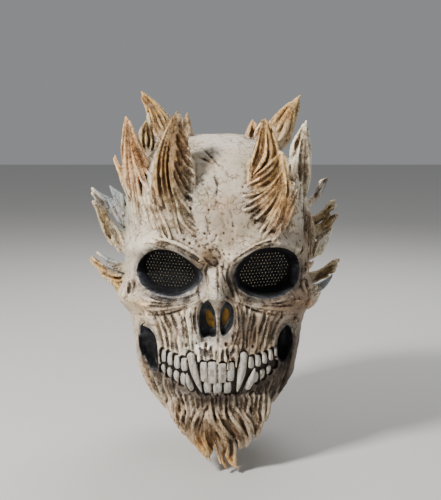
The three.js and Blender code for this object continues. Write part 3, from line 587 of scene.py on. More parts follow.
for turn, lift, tip, bow, share, paint in horns + side_locks:
    is_horn = len(spines) < len(horns)
    size = HORN_RADIUS * share
    turn, lift = math.radians(turn), math.radians(lift)
    axis_place = np.array([0, 0, WIDEST + math.tan(min(lift, 0)) * HALF_WIDTH])
    lift = max(lift, 0)
    ray = np.array([math.sin(turn) * math.cos(lift), -math.cos(turn) * math.cos(lift), math.sin(lift)])
    outward = axis_place + ray * np.arange(60.0, 150.0)[:, None]
    root = outward[(sample(plain, outward) > 0).argmax()] - ray * size * (0.5 if is_horn else 0.4)
    tip = np.array(tip) * head_scale + (0, 0, WIDEST)
    middle = (root + tip) / 2 + np.array(bow) * head_scale
    power, flat, peak, start = (0.75, 0.7, 0.45, 0.35) if is_horn else (0.8, 0.6, 0.01, 1.0)
    t = np.linspace(0, 1, 25)[:, None]
    spine = (1 - t) ** 2 * root + 2 * t * (1 - t) * middle + t * t * tip
    ramp = np.clip(t[:, 0] / peak, 0, 1)
    girth = size * (1 - t[:, 0]) ** power * (start + (1 - start) * ramp * ramp * (3 - 2 * ramp))
    spines.append((spine, girth, paint))
    fill = 0.68 if is_horn else 0.3
    lay(locks, spine[::2], np.maximum(fill * girth[::2], 1.1), 1.5, flat)
    for place, width in zip(spine[1:15:2], girth[1:15:2]) if is_horn else ():
        inward = np.array([0, 0, min(place[2], WIDEST + 30)]) - place
        inward = place + inward / np.linalg.norm(inward) * np.arange(0, 40, 1.0)[:, None]
        sunk = (sample(plain, inward) < -1).argmax()
        if sunk:
            lay(locks, [place, inward[sunk]], [0.62 * width, 0.8 * width], 3.0)
    tangent = np.gradient(spine, axis=0)
    tangent /= np.linalg.norm(tangent, axis=1)[:, None]
    across = np.cross(tangent, (0, -1, 0))
    across /= np.linalg.norm(across, axis=1)[:, None]
    proud = np.cross(across, tangent)
    strand = 1.25 + 0.05 * size
    count = max(5, int(2 * math.pi * 0.85 * size / (1.75 * strand)) - (0 if is_horn else 3))
    for n in range(count):
        angle = 2 * math.pi * (n + rng.uniform(0.2, 0.8)) / count
        if is_horn and math.sin(angle) > 0.3:
            continue
        swing = angle + rng.normal(0, 0.3) * t[:, 0]
        out = girth * (0.84 if is_horn else 0.5) * (1 + 0.5 * (n % 3 == 0) * np.clip(t[:, 0] - 0.5, 0, 1))
        sideways, forwards = np.cos(swing) * out, np.sin(swing) * out * flat
        body = spine + across * sideways[:, None] + proud * forwards[:, None]
        body = bend(body[2 : 25 - rng.integers(0, 7)], 11)
        radii = strand * rng.uniform(0.8, 1.2) * strand_taper
        back_strands.append((body, radii))

# Casting, horn ridges: the front of every horn is carved into ridges that run from its tip down over the
# brow, where they fan out and sink into the forehead. The rows give the first ridge, the last, and how many
# there are.
horn_ridges = [
    (
        [(125, 120), (122, 140), (121, 165), (121, 190), (123, 212), (128, 232)],
        [(128, 120), (131, 145), (134, 170), (138, 195), (140, 215), (143, 233)], 4,
    ),
    (
        [(130, 122), (135, 143), (144, 160), (152, 172)],
        [(129, 135), (134, 158), (141, 178), (150, 197), (157, 210)], 5,
    ),
    ([(140, 198), (145, 213), (149, 228), (153, 238)], [(153, 196), (160, 213), (166, 228), (171, 238)], 4),
    (
        [(174, 115), (165, 133), (159, 150), (155, 167), (155, 185), (160, 203), (166, 220), (171, 235)],
        [(177, 115), (172, 135), (170, 155), (171, 175), (174, 195), (179, 213), (184, 232)], 4,
    ),
    ([(178, 116), (184, 124), (189, 132), (193, 139)], [(173, 168), (178, 185), (185, 198), (193, 206)], 9),
    ([(174, 185), (180, 200), (187, 212), (195, 219)], [(176, 205), (182, 218), (188, 228), (196, 236)], 4),
    ([(141, 97), (147, 108), (149, 120), (152, 133)], [(146, 97), (155, 107), (163, 118), (167, 128)], 4),
    ([(146, 121), (142, 132), (141, 142), (145, 152)], [(148, 121), (155, 130), (158, 142), (153, 152)], 4),
    ([(184, 115), (183, 124), (183, 133)], [(186, 115), (188, 124), (189, 133)], 2),
    (
        [(262, 120), (256, 132), (252, 146), (247, 157), (250, 172)],
        [(266, 120), (269, 135), (272, 150), (269, 163), (260, 172), (252, 178)], 5,
    ),
    (
        [(278, 154), (272, 163), (264, 171), (252, 178)],
        [(281, 156), (283, 168), (278, 178), (268, 187), (245, 196)], 4,
    ),
    (
        [(282, 172), (276, 183), (268, 192), (256, 200), (242, 205)],
        [(285, 174), (286, 192), (282, 210), (264, 238)], 7,
    ),
    (
        [(303, 124), (298, 137), (292, 150), (289, 165), (288, 180)],
        [(306, 124), (306, 145), (309, 165), (311, 190), (312, 243)], 4,
    ),
    ([(297, 170), (291, 185), (284, 200), (280, 212)], [(304, 195), (299, 213), (290, 228), (282, 242)], 5),
    (
        [(279, 152), (283, 165), (286, 182), (285, 200), (280, 218), (268, 238)],
        [(282, 153), (288, 166), (291, 184), (291, 203), (286, 221), (273, 241)], 2,
    ),
    ([(306, 205), (304, 222), (300, 240), (297, 252)], [(311, 215), (312, 232), (313, 248), (312, 262)], 3),
    (
        [(297, 99), (285, 107), (275, 119), (270, 130)],
        [(298, 100), (293, 115), (291, 128), (286, 142), (279, 148)], 4,
    ),
    ([(252, 122), (250, 130), (249, 138)], [(254, 122), (256, 130), (257, 137)], 2),
    (
        [(92, 188), (97, 194), (103, 198), (106, 206), (107, 214)],
        [(94, 202), (99, 210), (101, 220), (105, 230), (109, 240)], 4,
    ),
    (
        [(101, 221), (105, 231), (110, 242), (115, 252), (120, 263)],
        [(113, 225), (118, 232), (123, 241), (127, 253)], 4,
    ),
    ([(108, 200), (113, 210), (119, 220), (125, 230)], [(114, 198), (119, 206), (123, 214), (127, 222)], 3),
    (
        [(97, 252), (104, 258), (112, 262), (120, 262)],
        [(90, 259), (95, 265), (104, 271), (114, 272), (122, 266)], 4,
    ),
    ([(98, 268), (106, 274), (115, 276), (123, 274)], [(104, 275), (110, 281), (117, 287), (122, 288)], 3),
    ([(113, 158), (116, 165), (119, 172), (121, 180)], [(114, 158), (118, 164), (121, 170), (123, 176)], 2),
    ([(327, 178), (322, 181), (315, 185)], [(327, 180), (321, 189), (316, 200)], 3),
    ([(335, 201), (328, 204), (324, 211), (321, 222)], [(336, 215), (331, 219), (326, 225), (319, 231)], 4),
    ([(333, 227), (325, 231), (319, 236), (313, 241)], [(331, 229), (323, 236), (316, 245), (313, 258)], 4),
    ([(325, 244), (321, 252), (317, 260), (315, 268)], [(318, 242), (315, 252), (313, 262), (311, 270)], 3),
    ([(337, 260), (330, 265), (323, 270), (316, 276)], [(333, 276), (326, 276), (320, 279), (313, 281)], 4),
    ([(331, 278), (325, 285), (319, 292), (314, 296)], [(322, 283), (317, 288), (313, 293)], 2),
]
for body, radii in back_strands:
    lay(locks, body, radii, 0.5)
body = merged(skin, locks, 1.4)
del skin, locks
carve(body, body.copy(), [family(*row, 0.34) for row in horn_ridges], 0.5, (0.7, 0.4), -0.25)

# Casting, the beard: locks of thick strands that start below the lower gum, sway and end in curled tips.
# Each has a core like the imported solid's, with strands round it, and the front is carved into ridges.
beard_cores = [
    (0.04, 0.86, 0.2, 1.197, -0.07, 1.0),
    (-0.06, 0.87, -0.078, 1.157, -0.05, 0.95),
    (-0.18, 0.86, -0.14, 1.12, -0.06, 1.0),
    (-0.3, 0.85, -0.24, 1.075, -0.06, 0.95),
    (-0.42, 0.83, -0.36, 1.01, -0.05, 0.85),
    (0.15, 0.86, 0.24, 1.12, 0.03, 0.95),
    (0.26, 0.85, 0.3, 1.1, 0.05, 0.95),
    (0.37, 0.84, 0.4, 1.06, 0.04, 0.85),
    (0.46, 0.82, 0.48, 0.99, 0.03, 0.7),
]
BEARD_RADIUS = 11
beard = np.full(shape, 40, np.float32)
for x, drop, tip_x, tip_drop, sway, share in beard_cores:
    size = BEARD_RADIUS * share
    start = on_head(np.array([[x * HALF_WIDTH, -FACE_DEPTH, WIDEST - drop * FACE_DROP]]))[0]
    tip = np.array([tip_x * HALF_WIDTH, start[1], WIDEST - tip_drop * FACE_DROP])
    middle = (start + tip) / 2 + (sway * HALF_WIDTH, -4, 0)
    t = np.linspace(0, 0.88, 9)[:, None]
    core = (1 - t) ** 2 * start + 2 * t * (1 - t) * middle + t**2 * tip + (0, 2.5, 0)
    width = size * (0.75 + 1.5 * t[:, 0]) * (1 - t[:, 0]) ** 0.8
    lay(beard, core, np.maximum(0.55 * width, 0.8), 1.0, 0.7)
    for n in range(5):
        angle = -math.pi * (n + rng.uniform(0.2, 0.8)) / 5
        ring = np.stack([0.8 * width * math.cos(angle), -0.55 * width * math.sin(angle), 0 * width], 1)
        lay(beard, core + ring, np.interp(t[:, 0], (0, 0.3, 0.88), (1.2, 2.0, 0.9)), 0.5)
beard_strands = [
    (
        [(210, 404), (211, 414), (212, 421), (218, 429), (224, 436), (228, 443),
         (227, 451), (226, 459), (237, 467)], 2.7,
    ),
    ([(208, 410), (208, 420), (212, 429), (216, 438), (222, 446), (223, 454), (222, 461), (226, 467)], 2.4),
    ([(206, 410), (206, 422), (208, 431), (213, 441), (217, 448), (218, 456), (221, 463)], 2.0),
    ([(216, 406), (217, 418), (222, 427), (230, 436), (235, 444), (235, 452), (233, 459), (236, 465)], 2.2),
    ([(201, 406), (198, 415), (193, 423), (192, 432), (195, 442), (201, 450), (207, 456), (210, 460)], 2.6),
    ([(204, 408), (201, 417), (197, 425), (196, 434), (199, 442), (205, 449), (209, 457)], 2.0),
    ([(205, 416), (202, 425), (200, 434), (203, 442), (208, 449), (210, 456)], 1.6),
    ([(186, 404), (182, 414), (181, 421), (183, 429), (188, 436), (193, 443)], 2.0),
    ([(190, 406), (187, 417), (186, 424), (188, 433), (193, 440)], 1.7),
    ([(179, 402), (176, 412), (176, 419), (179, 427), (184, 434)], 1.9),
    ([(195, 406), (191, 415), (189, 423), (190, 432), (193, 439)], 1.8),
    ([(171, 400), (171, 409), (174, 418), (179, 426)], 1.8),
    ([(222, 406), (225, 419), (231, 428), (237, 436), (240, 442), (239, 449)], 1.6),
    ([(228, 406), (232, 419), (240, 427), (245, 434), (248, 441), (246, 446)], 2.1),
    ([(234, 404), (240, 415), (247, 424), (250, 432), (251, 439), (247, 445)], 2.3),
    ([(239, 404), (244, 413), (250, 421), (253, 429), (252, 437)], 1.8),
    ([(250, 402), (256, 412), (258, 421), (259, 430), (255, 439)], 2.0),
    ([(262, 398), (264, 409), (263, 418), (261, 427), (257, 436)], 1.9),
    ([(268, 392), (269, 402), (268, 411), (264, 421)], 1.8),
]
beard_gaps = [
    ([(206, 420), (206, 430), (209, 440), (214, 449)], 2.2),
    ([(209, 425), (212, 434), (216, 443)], 1.8),
    ([(222, 420), (228, 429), (235, 438), (237, 447)], 2.0),
    ([(226, 421), (234, 431), (241, 440)], 2.0),
    ([(190, 418), (188, 427), (191, 436)], 1.5),
    ([(183, 416), (184, 424), (187, 431)], 1.4),
    ([(247, 414), (254, 424), (255, 434)], 1.6),
    ([(259, 411), (261, 420), (258, 430)], 1.4),
    ([(226, 447), (223, 456), (228, 464)], 1.3),
    ([(213, 408), (214, 416), (219, 424)], 1.3),
    ([(230, 440), (232, 448), (230, 457)], 1.3),
    ([(199, 418), (195, 427), (197, 438), (204, 448)], 1.5),
    ([(176, 408), (178, 418), (183, 428)], 1.3),
    ([(236, 412), (243, 422), (246, 434)], 1.4),
    ([(253, 408), (257, 419), (257, 430)], 1.3),
]
fringe = family([(174, 396), (177, 404), (178, 414)], [(264, 394), (262, 404), (262, 414)], 19, 0.34)
body = merged(body, beard, 1.2)
del beard
surface = body.copy()
carve(body, surface, [fringe], 0.6, (0.4, 0.4), -0.3, 12)
strands = [(bend(path, 17), radius * np.ones(17)) for path, radius in beard_strands]
gaps = [(bend(path, 11), 1.3 * radius * np.ones(11)) for path, radius in beard_gaps]
carve(body, surface, [(strands, gaps)], 0.4, (0.5, 0.55), -0.6, 30)
del surface
body = merged(body, teeth, 0.5)


# Casting, openings: eye sockets, cheek pockets and nostrils are deep and painted black. Each closes inside
# with its own wall. The sockets narrow back to the eye panels' seats, and slots pierce the nostrils' floor.
solid = np.maximum(body, -hollow)
del hollow
opening = np.full(shape, 40, np.float32)


def open_up(cut, behind):
    """Cuts an opening, and closes a wall round it inside the casting."""
    np.minimum(solid, np.maximum(np.maximum(cut - WALL, behind), body), out=solid)
    np.minimum(opening, cut, out=opening)


def traced_gap(edge, count):
    """Signed distance in the front view from an edge that is traced on the bare head."""
    edge = seen_at(bend(edge + edge[:1], count)[:-1], plain)[:, (0, 2)]
    return outline(edge, gx[:, 0], gz[0])[:, None, :]


SOCKET_WIDTH, SOCKET_HEIGHT, SOCKET_INSET, SOCKET_DROP, SOCKET_DEPTH = 60, 40, 24, 38, 32
socket_yaw = math.radians(27)
socket_x = HALF_WIDTH - SOCKET_INSET - SOCKET_WIDTH / 2 * math.cos(socket_yaw)
socket_z, socket_y = WIDEST - SOCKET_DROP, SOCKET_DEPTH - FACE_DEPTH
socket_corners = np.array([
    (1.0, 0.16), (0.9, 0.62), (0.56, 0.93), (0.08, 1.0), (-0.32, 0.88), (-0.66, 0.54), (-0.93, 0.18),
    (-1.0, -0.14), (-0.86, -0.58), (-0.46, -0.9), (0.12, -1.0), (0.62, -0.8), (0.9, -0.4),
])
left_rim = [(136, 272), (139, 260), (152, 249), (171, 250), (184, 257), (194, 265), (205, 274), (201, 284)]
left_rim += [(187, 293), (172, 297), (156, 294), (141, 286)]
right_rim = [(233, 275), (239, 263), (248, 255), (261, 248), (283, 247), (297, 254), (301, 268), (299, 281)]
right_rim += [(290, 292), (275, 299), (257, 299), (242, 292), (234, 284)]
for side, rim in ((-1, left_rim), (1, right_rim)):
    seat = bend(np.concatenate([socket_corners, socket_corners[:1]]), 40)[:-1]
    seat = seat * (SOCKET_WIDTH / 2 * math.cos(socket_yaw), SOCKET_HEIGHT / 2) + (socket_x, socket_z)
    gap_rim = traced_gap(rim, 40)
    gap_seat = outline(seat * (side, 1), gx[:, 0], gz[0])[:, None, :]
    ahead = socket_y + (np.abs(gx) - socket_x) * math.tan(socket_yaw) - gy
    share = np.clip(ahead / np.maximum(ahead + np.maximum(-plain, 0), 1), 0, 1)
    open_up(np.maximum(gap_seat * (1 - share) + gap_rim * share, -ahead - 4), -ahead)

left_pocket = [(139, 325), (149, 328), (155, 335), (157, 345), (158, 358), (158, 371), (154, 372)]
left_pocket += [(147, 363), (141, 352), (138, 340), (137, 331)]
right_pocket = [(287, 325), (281, 331), (278, 338), (277, 348), (278, 359), (282, 365), (288, 355)]
right_pocket += [(293, 343), (292, 328)]
POCKET_ROUND, POCKET_START, POCKET_BACK = 8, 80, 60
for edge in (left_pocket, right_pocket):
    reach = np.maximum(traced_gap(edge, 36) + POCKET_ROUND, 0)
    bowl = np.sqrt(reach**2 + (np.maximum(gy + POCKET_START, 0) * 0.7) ** 2) - POCKET_ROUND
    open_up(bowl, gy + POCKET_BACK)

NOSTRIL_FLOOR = 4 - FACE_DEPTH
left_nostril = [(208, 301), (202, 306), (200, 313), (200, 322), (200, 331), (203, 339), (209, 335)]
left_nostril += [(214, 338), (216, 336), (216, 325), (215, 311)]
right_nostril = [(227, 302), (221, 309), (220, 325), (222, 338), (228, 332), (233, 325), (234, 315)]
right_nostril += [(232, 306)]
left_slot = [(206, 311), (209, 310), (213.5, 316), (215, 325), (213.5, 330), (209.5, 329), (205.5, 321)]
right_slot = [(224.5, 309), (228, 309), (229.5, 316), (227.5, 323), (224, 329), (222, 326), (222, 317)]
behind_floor = gy - NOSTRIL_FLOOR
for edge in (left_nostril, right_nostril):
    open_up(np.maximum(traced_gap(edge, 30) + 0.05 * behind_floor, behind_floor), behind_floor - WALL)
for edge in (left_slot, right_slot):
    np.minimum(opening, np.maximum(traced_gap(edge, 30), behind_floor - 3 * WALL), out=opening)

EDGE_ROUNDING = 1.4
round_off = np.maximum(EDGE_ROUNDING - np.abs(solid + opening), 0) ** 2 / (4 * EDGE_ROUNDING)
solid = (np.maximum(solid, -opening) + round_off).astype(np.float32)
del round_off

# Casting, the mesh: latex is poured in one piece, so the whole field is meshed at once at its zero level and
# thinned to under 200,000 triangles. Crumbs that hang free of it go.
grid = openvdb.FloatGrid(40.0)
grid.copyFromArray(solid)
grid.transform = openvdb.createLinearTransform(VOXEL)
points, _, quads = grid.convertToPolygons(isovalue=0.0, adaptivity=0.0)
del solid, grid
points = points + LOW
group = np.arange(len(points))
links = np.concatenate([quads[:, :2], quads[:, 1:3], quads[:, 2:4]])
while True:
    previous = group.copy()
    lower = np.minimum(group[links[:, 0]], group[links[:, 1]])
    np.minimum.at(group, links[:, 0], lower)
    np.minimum.at(group, links[:, 1], lower)
    group = group[group]
    if (group == previous).all():
        break
kept = group == np.bincount(group).argmax()
renumber = np.cumsum(kept) - 1
quads = renumber[quads[kept[quads[:, 0]]]][:, ::-1]
points = points[kept]
casting_mesh = bpy.data.meshes.new("casting")
casting_mesh.from_pydata((points / 1000).tolist(), [], quads.tolist())
casting = bpy.data.objects.new("mask_painted", casting_mesh)
bpy.context.collection.objects.link(casting)
MOST_TRIANGLES = 195000
thin = casting.modifiers.new("thin", "DECIMATE")
thin.ratio = MOST_TRIANGLES / (2 * len(quads))
casting.data = bpy.data.meshes.new_from_object(casting.evaluated_get(bpy.context.evaluated_depsgraph_get()))
casting.modifiers.remove(thin)
casting_mesh = casting.data
casting_mesh.shade_smooth()


# Casting, paint masks: the paint follows the form, so each point of the surface keeps how deep it lies in a
# crease and which form it is on.
def box_mean(values, reach):
    """The mean over a cube round each place."""
    for axis in range(3):
        count = values.shape[axis]
        total = np.cumsum(values, axis=axis, dtype=np.float32)
        high = np.minimum(np.arange(count) + reach, count - 1)
        low = np.maximum(np.arange(count) - reach - 1, 0)
        width = (high - low).reshape([-1 if k == axis else 1 for k in range(3)]).astype(np.float32)
        values = (total.take(high, axis) - total.take(low, axis)) / width
    return values


at = np.empty(len(casting_mesh.vertices) * 3)
casting_mesh.vertices.foreach_get("co", at)
at = at.reshape(-1, 3) * 1000
form = np.clip(np.maximum(body, -opening), -8, 8)
line_places = np.concatenate([path for path, _ in groove_lines])
line_widths = np.concatenate([radii for _, radii in groove_lines])
tree = kdtree.KDTree(len(line_places))
for n, line_place in enumerate(line_places):
    tree.insert(line_place, n)
tree.balance()
WASH_REACH, HAZE_REACH = 1.8, 9
wash = np.empty(len(at), np.float32)
for n, spot in enumerate(at):
    _, line, away = tree.find(spot)
    wash[n] = 1 - (away - line_widths[line]) / WASH_REACH
depth_at = sample(form, at)
masks = {
    "crease": depth_at - sample(box_mean(form, max(1, round(2.2 / VOXEL))), at),
    # how deep a point lies in a broad hollow, for painted shade
    "broad_shade": depth_at - sample(box_mean(form, max(2, round(5.5 / VOXEL))), at),
    "hair": np.clip(sample(plain, at) / 2.5 - 0.1, 0, 1),
    "wash": np.clip(wash, 0, 1),
    "tooth": np.clip(1 - sample(teeth, at), 0, 1),
    "mouth": np.clip(0.5 - (sample(np.broadcast_to(mouth, shape), at) + 0.5) / 1.5, 0, 1) * (at[:, 1] < -20),
    "dark": np.clip(0.75 - sample(opening, at) / 1.6, 0, 1),
    # how near a point is to an opening, for the black haze and the painted shade round it
    "haze_and_shade": np.clip(1 - sample(opening, at) / HAZE_REACH, 0, 1),
    # the lower rims of the openings, for painted light
    "rim": np.clip(1 + sample(plain, at) / HAZE_REACH, 0, 1) * (at[:, 2] < socket_z + 4),
    "inside": np.clip((-2.0 - sample(body, at)) / 0.8, 0, 1) * (sample(opening, at) > 1.2),
}
for name, values in masks.items():
    layer = casting_mesh.attributes.new(name, "FLOAT", "POINT")
    layer.data.foreach_set("value", values.astype(np.float32))


def pigment(red, green, blue):
    """A paint's colour from its usual 0 to 255 values."""
    parts = np.array([red, green, blue]) / 255
    return np.where(parts < 0.04, parts / 12.92, ((parts + 0.055) / 1.055) ** 2.4)


# Casting, tints: soft patches over a bone ground, most of them the maker's spray and some painted shade and
# painted light, as marked. Each row has a place in the photo's pixels, its reach across and down, the paint
# and how strongly it covers. Horns carry their own paint, which is strongest towards their tips.
bone_ground = pigment(206, 194, 176)
patches = [
    (200, 185, 26, 30, (192, 192, 176), 0.6),
    (222, 205, 22, 40, (206, 186, 164), 0.6),
    (244, 222, 22, 26, (176, 156, 134), 0.6),
    (208, 256, 13, 13, (138, 102, 64), 0.85),
    # painted shade on the right side of the nose
    (232, 287, 8, 24, (104, 88, 72), 0.8),
    (198, 316, 5, 22, (120, 118, 112), 0.6),
    (208, 292, 5, 12, (150, 146, 140), 0.6),
    (225, 238, 14, 16, (170, 146, 118), 0.5),
    (158, 240, 30, 10, (232, 222, 204), 0.85),
    (266, 248, 26, 10, (212, 200, 178), 0.6),
    (138, 304, 20, 9, (212, 176, 120), 0.6),
    (296, 300, 16, 12, (196, 156, 122), 0.6),
    (168, 325, 16, 18, (206, 184, 150), 0.5),
    (200, 345, 13, 22, (236, 232, 224), 0.9),
    (243, 340, 26, 22, (170, 152, 134), 0.5),
    (214, 288, 11, 22, (220, 212, 198), 0.7),
    (165, 296, 26, 6, (126, 134, 146), 0.7),
    (270, 299, 26, 6, (120, 122, 126), 0.6),
    (148, 385, 14, 28, (172, 148, 116), 0.7),
    # painted shade: the face's right jaw, the edge of the right pocket, the temple, cheek and cheekbone,
    # darkened as if away from the lamp
    (286, 380, 18, 38, (52, 41, 31), 0.94),
    (302, 345, 12, 30, (60, 48, 38), 0.85),
    (306, 248, 9, 40, (142, 116, 88), 0.8),
    (264, 332, 26, 24, (132, 110, 86), 0.75),
    (298, 306, 16, 12, (122, 94, 64), 0.75),
    (172, 172, 12, 28, (118, 88, 50), 0.8),
    # painted shade on the right half of the left inner horn's tip
    (177, 132, 8, 24, (74, 54, 28), 0.85),
    (191, 168, 7, 28, (222, 210, 190), 0.75),
    (158, 218, 18, 18, (208, 192, 168), 0.7),
    (186, 218, 12, 18, (196, 180, 156), 0.6),
    # painted light: the right outer horn is lightened where it lies in shade
    (301, 175, 10, 50, (248, 243, 230), 0.85),
    # painted shade in the recess between the lower teeth and the beard, in the middle and to both sides
    (217, 399, 34, 7, (40, 32, 26), 0.95),
    (172, 387, 14, 8, (84, 68, 52), 0.8),
    (262, 384, 14, 8, (60, 48, 36), 0.85),
    (215, 436, 50, 28, (150, 124, 92), 0.9),
    (228, 462, 12, 10, (206, 160, 92), 0.9),
    # painted shade in the gaps between the beard's locks
    (217, 447, 4, 9, (62, 48, 34), 0.85),
    (232, 440, 4, 9, (70, 54, 38), 0.7),
    (201, 428, 3, 12, (70, 56, 42), 0.7),
    (243, 430, 3, 10, (70, 56, 42), 0.7),
    (187, 424, 3, 9, (70, 56, 42), 0.6),
    (203, 448, 12, 12, (200, 154, 84), 0.7),
    (122, 215, 7, 26, (150, 152, 130), 0.6),
    (118, 216, 9, 16, (140, 148, 160), 0.7),
]
horn_paints = {
    "ochre": (180, 144, 84),
    "amber": (212, 174, 114),
    "rose": (216, 172, 118),
    "olive": (156, 140, 98),
    "bone": (226, 221, 206),
    "slate": (128, 136, 142),
}
view = (at - camera_at) @ camera_axes.T
pixel_x = PHOTO_WIDTH / 2 - FOCAL_PIXELS * view[:, 0] / view[:, 2]
pixel_y = PHOTO_HEIGHT / 2 + FOCAL_PIXELS * view[:, 1] / view[:, 2]
tint = np.tile(bone_ground, (len(at), 1))
facing = np.clip((50 - at[:, 1]) / 20, 0, 1)
chin_level = np.interp(pixel_x, *np.array(sorted(chin_line), float).T)
# painted shade in the recess below the lower teeth, above the beard
under_teeth_shade = np.clip(1.2 - sample(np.broadcast_to(mouth, shape), at) / 9, 0, 1)
under_teeth_shade = under_teeth_shade * (pixel_y > chin_level - 6) * facing
for spine, girth, paint in spines:
    gaps = np.linalg.norm(at[:, None].astype(np.float32) - spine[None].astype(np.float32), axis=2)
    nearest = gaps.argmin(axis=1)
    cover = np.clip(1.6 - gaps.min(axis=1) / (girth[nearest] + 3), 0, 1) * np.clip(nearest / 16 + 0.1, 0, 1)
    tint += (pigment(*horn_paints[paint]) - tint) * (cover * masks["hair"])[:, None]
for x, y, reach_x, reach_y, colour, strength in patches:
    cover = strength * facing * np.exp(-(((pixel_x - x) / reach_x) ** 2) - ((pixel_y - y) / reach_y) ** 2)
    tint += (pigment(*colour) - tint) * cover[:, None]
tint += (pigment(62, 50, 40) - tint) * 0.8 * under_teeth_shade[:, None]
layer = casting_mesh.attributes.new("tint", "FLOAT_COLOR", "POINT")
layer.data.foreach_set("color", np.concatenate([tint, np.ones((len(at), 1))], 1).astype(np.float32).ravel())

# Casting, paint: latex paint over a bone ground. A dark brown wash lies in the creases, painted shade
# darkens the broad hollows, the ridges are dry brushed lighter with a painted highlight, sockets and pockets
# are black with painted light on their lower rims and black haze and painted shade round them, and the
# inside is bare latex.
def new_paint(name):
    """Starts a material. The helpers below add to the one that was started last."""
    global nodes, wires, place, shader
    material = bpy.data.materials.new(name)
    material.use_nodes = True
    nodes, wires = material.node_tree.nodes, material.node_tree.links
    place = nodes.new("ShaderNodeTexCoord").outputs["Object"]
    shader = nodes["Principled BSDF"]
    return material


def feed(socket, value):
    """Wires an output into a socket, or sets the socket's own value."""
    if isinstance(value, bpy.types.NodeSocket):
        wires.new(value, socket)
    elif isinstance(value, (int, float)):
        socket.default_value = value
    else:
        socket.default_value = (*value, 1)[: len(socket.default_value)]


def mask_of(name):
    node = nodes.new("ShaderNodeAttribute")
    node.attribute_name = name
    return node.outputs["Fac"]


def cloud(scale, detail=3.0, stretch=(1, 1, 1)):
    """Noise on the piece's own coordinates."""
    mapping = nodes.new("ShaderNodeMapping")
    feed(mapping.inputs["Vector"], place)
    mapping.inputs["Scale"].default_value = stretch
    node = nodes.new("ShaderNodeTexNoise")
    feed(node.inputs["Vector"], mapping.outputs["Vector"])
    node.inputs["Scale"].default_value = scale
    node.inputs["Detail"].default_value = detail
    return node.outputs["Fac"]


def span(value, low, high, to_low=0.0, to_high=1.0):
    """Maps a stretch of values onto another, smoothly and with both ends held."""
    node = nodes.new("ShaderNodeMapRange")
    node.interpolation_type = "SMOOTHSTEP"
    feed(node.inputs["Value"], value)
    for socket, number in zip(("From Min", "From Max", "To Min", "To Max"), (low, high, to_low, to_high)):
        node.inputs[socket].default_value = number
    return node.outputs["Result"]


def reckon(operation, a, b):
    node = nodes.new("ShaderNodeMath")
    node.operation = operation
    feed(node.inputs[0], a)
    feed(node.inputs[1], b)
    return node.outputs[0]


def over(under, top, share, blend="MIX"):
    """One paint over another, by a share."""
    node = nodes.new("ShaderNodeMix")
    node.data_type = "RGBA"
    node.blend_type = blend
    feed(node.inputs[0], share)
    feed(node.inputs[6], under)
    feed(node.inputs[7], top)
    return node.outputs[2]


def multiplied(under, tone, share):
    """Multiplies what lies under it, for thin glazes, painted shade and painted highlight."""
    return over(under, tone, share, "MULTIPLY")


def roughened(height, strength, distance):
    """Gives the surface a fine relief."""
    bump = nodes.new("ShaderNodeBump")
    bump.inputs["Strength"].default_value = strength
    bump.inputs["Distance"].default_value = distance
    feed(bump.inputs["Height"], height)
    feed(shader.inputs["Normal"], bump.outputs["Normal"])


bone_paint = new_paint("bone_paint")
tint_node = nodes.new("ShaderNodeAttribute")
tint_node.attribute_name = "tint"
fine, small, broad = cloud(900, 4), cloud(220, 4), cloud(45, 3)
lines = cloud(700, 3, (1, 1, 0.12))
hair, crease, broad_shade = mask_of("hair"), mask_of("crease"), mask_of("broad_shade")
colour = tint_node.outputs["Color"]
colour = multiplied(colour, (0.62, 0.55, 0.46), span(broad, 0.5, 0.72, 0, 0.6))
colour = multiplied(colour, (1.2, 1.2, 1.18), span(cloud(60, 4), 0.52, 0.72, 0, 0.7))
colour = multiplied(colour, (0.5, 0.42, 0.34), span(small, 0.54, 0.7, 0, 0.75))
colour = multiplied(colour, (0.44, 0.37, 0.27), reckon("MULTIPLY", span(lines, 0.48, 0.66, 0, 0.75), hair))
wash_rough = reckon("ADD", mask_of("wash"), span(fine, 0.3, 0.7, -0.15, 0.15))
wash_rough = reckon("ADD", wash_rough, span(cloud(110, 2), 0.35, 0.62, -0.35, 0.0))
crease_rough = reckon("ADD", crease, span(fine, 0.3, 0.7, -0.12, 0.12))
wash_brown = over((0.47, 0.42, 0.36), (0.5, 0.4, 0.28), hair)
colour = multiplied(colour, wash_brown, span(wash_rough, 0.1, 0.85, 0, 0.8))
colour = multiplied(colour, (0.4, 0.33, 0.26), span(crease_rough, 0.0, 0.5, 0, 0.85))
deep_wash = reckon("MULTIPLY", span(wash_rough, 0.62, 1.05, 0, 0.9), span(hair, 0, 1, 1, 0.72))
colour = over(colour, over(pigment(40, 33, 28), pigment(64, 46, 26), hair), deep_wash)
colour = over(colour, pigment(32, 25, 19), span(crease_rough, 0.4, 1.1, 0, 0.92))
# painted shade: broad hollows are darkened where shade falls in them
colour = multiplied(colour, (0.5, 0.44, 0.38), span(broad_shade, 0.3, 2.0, 0, 0.75))
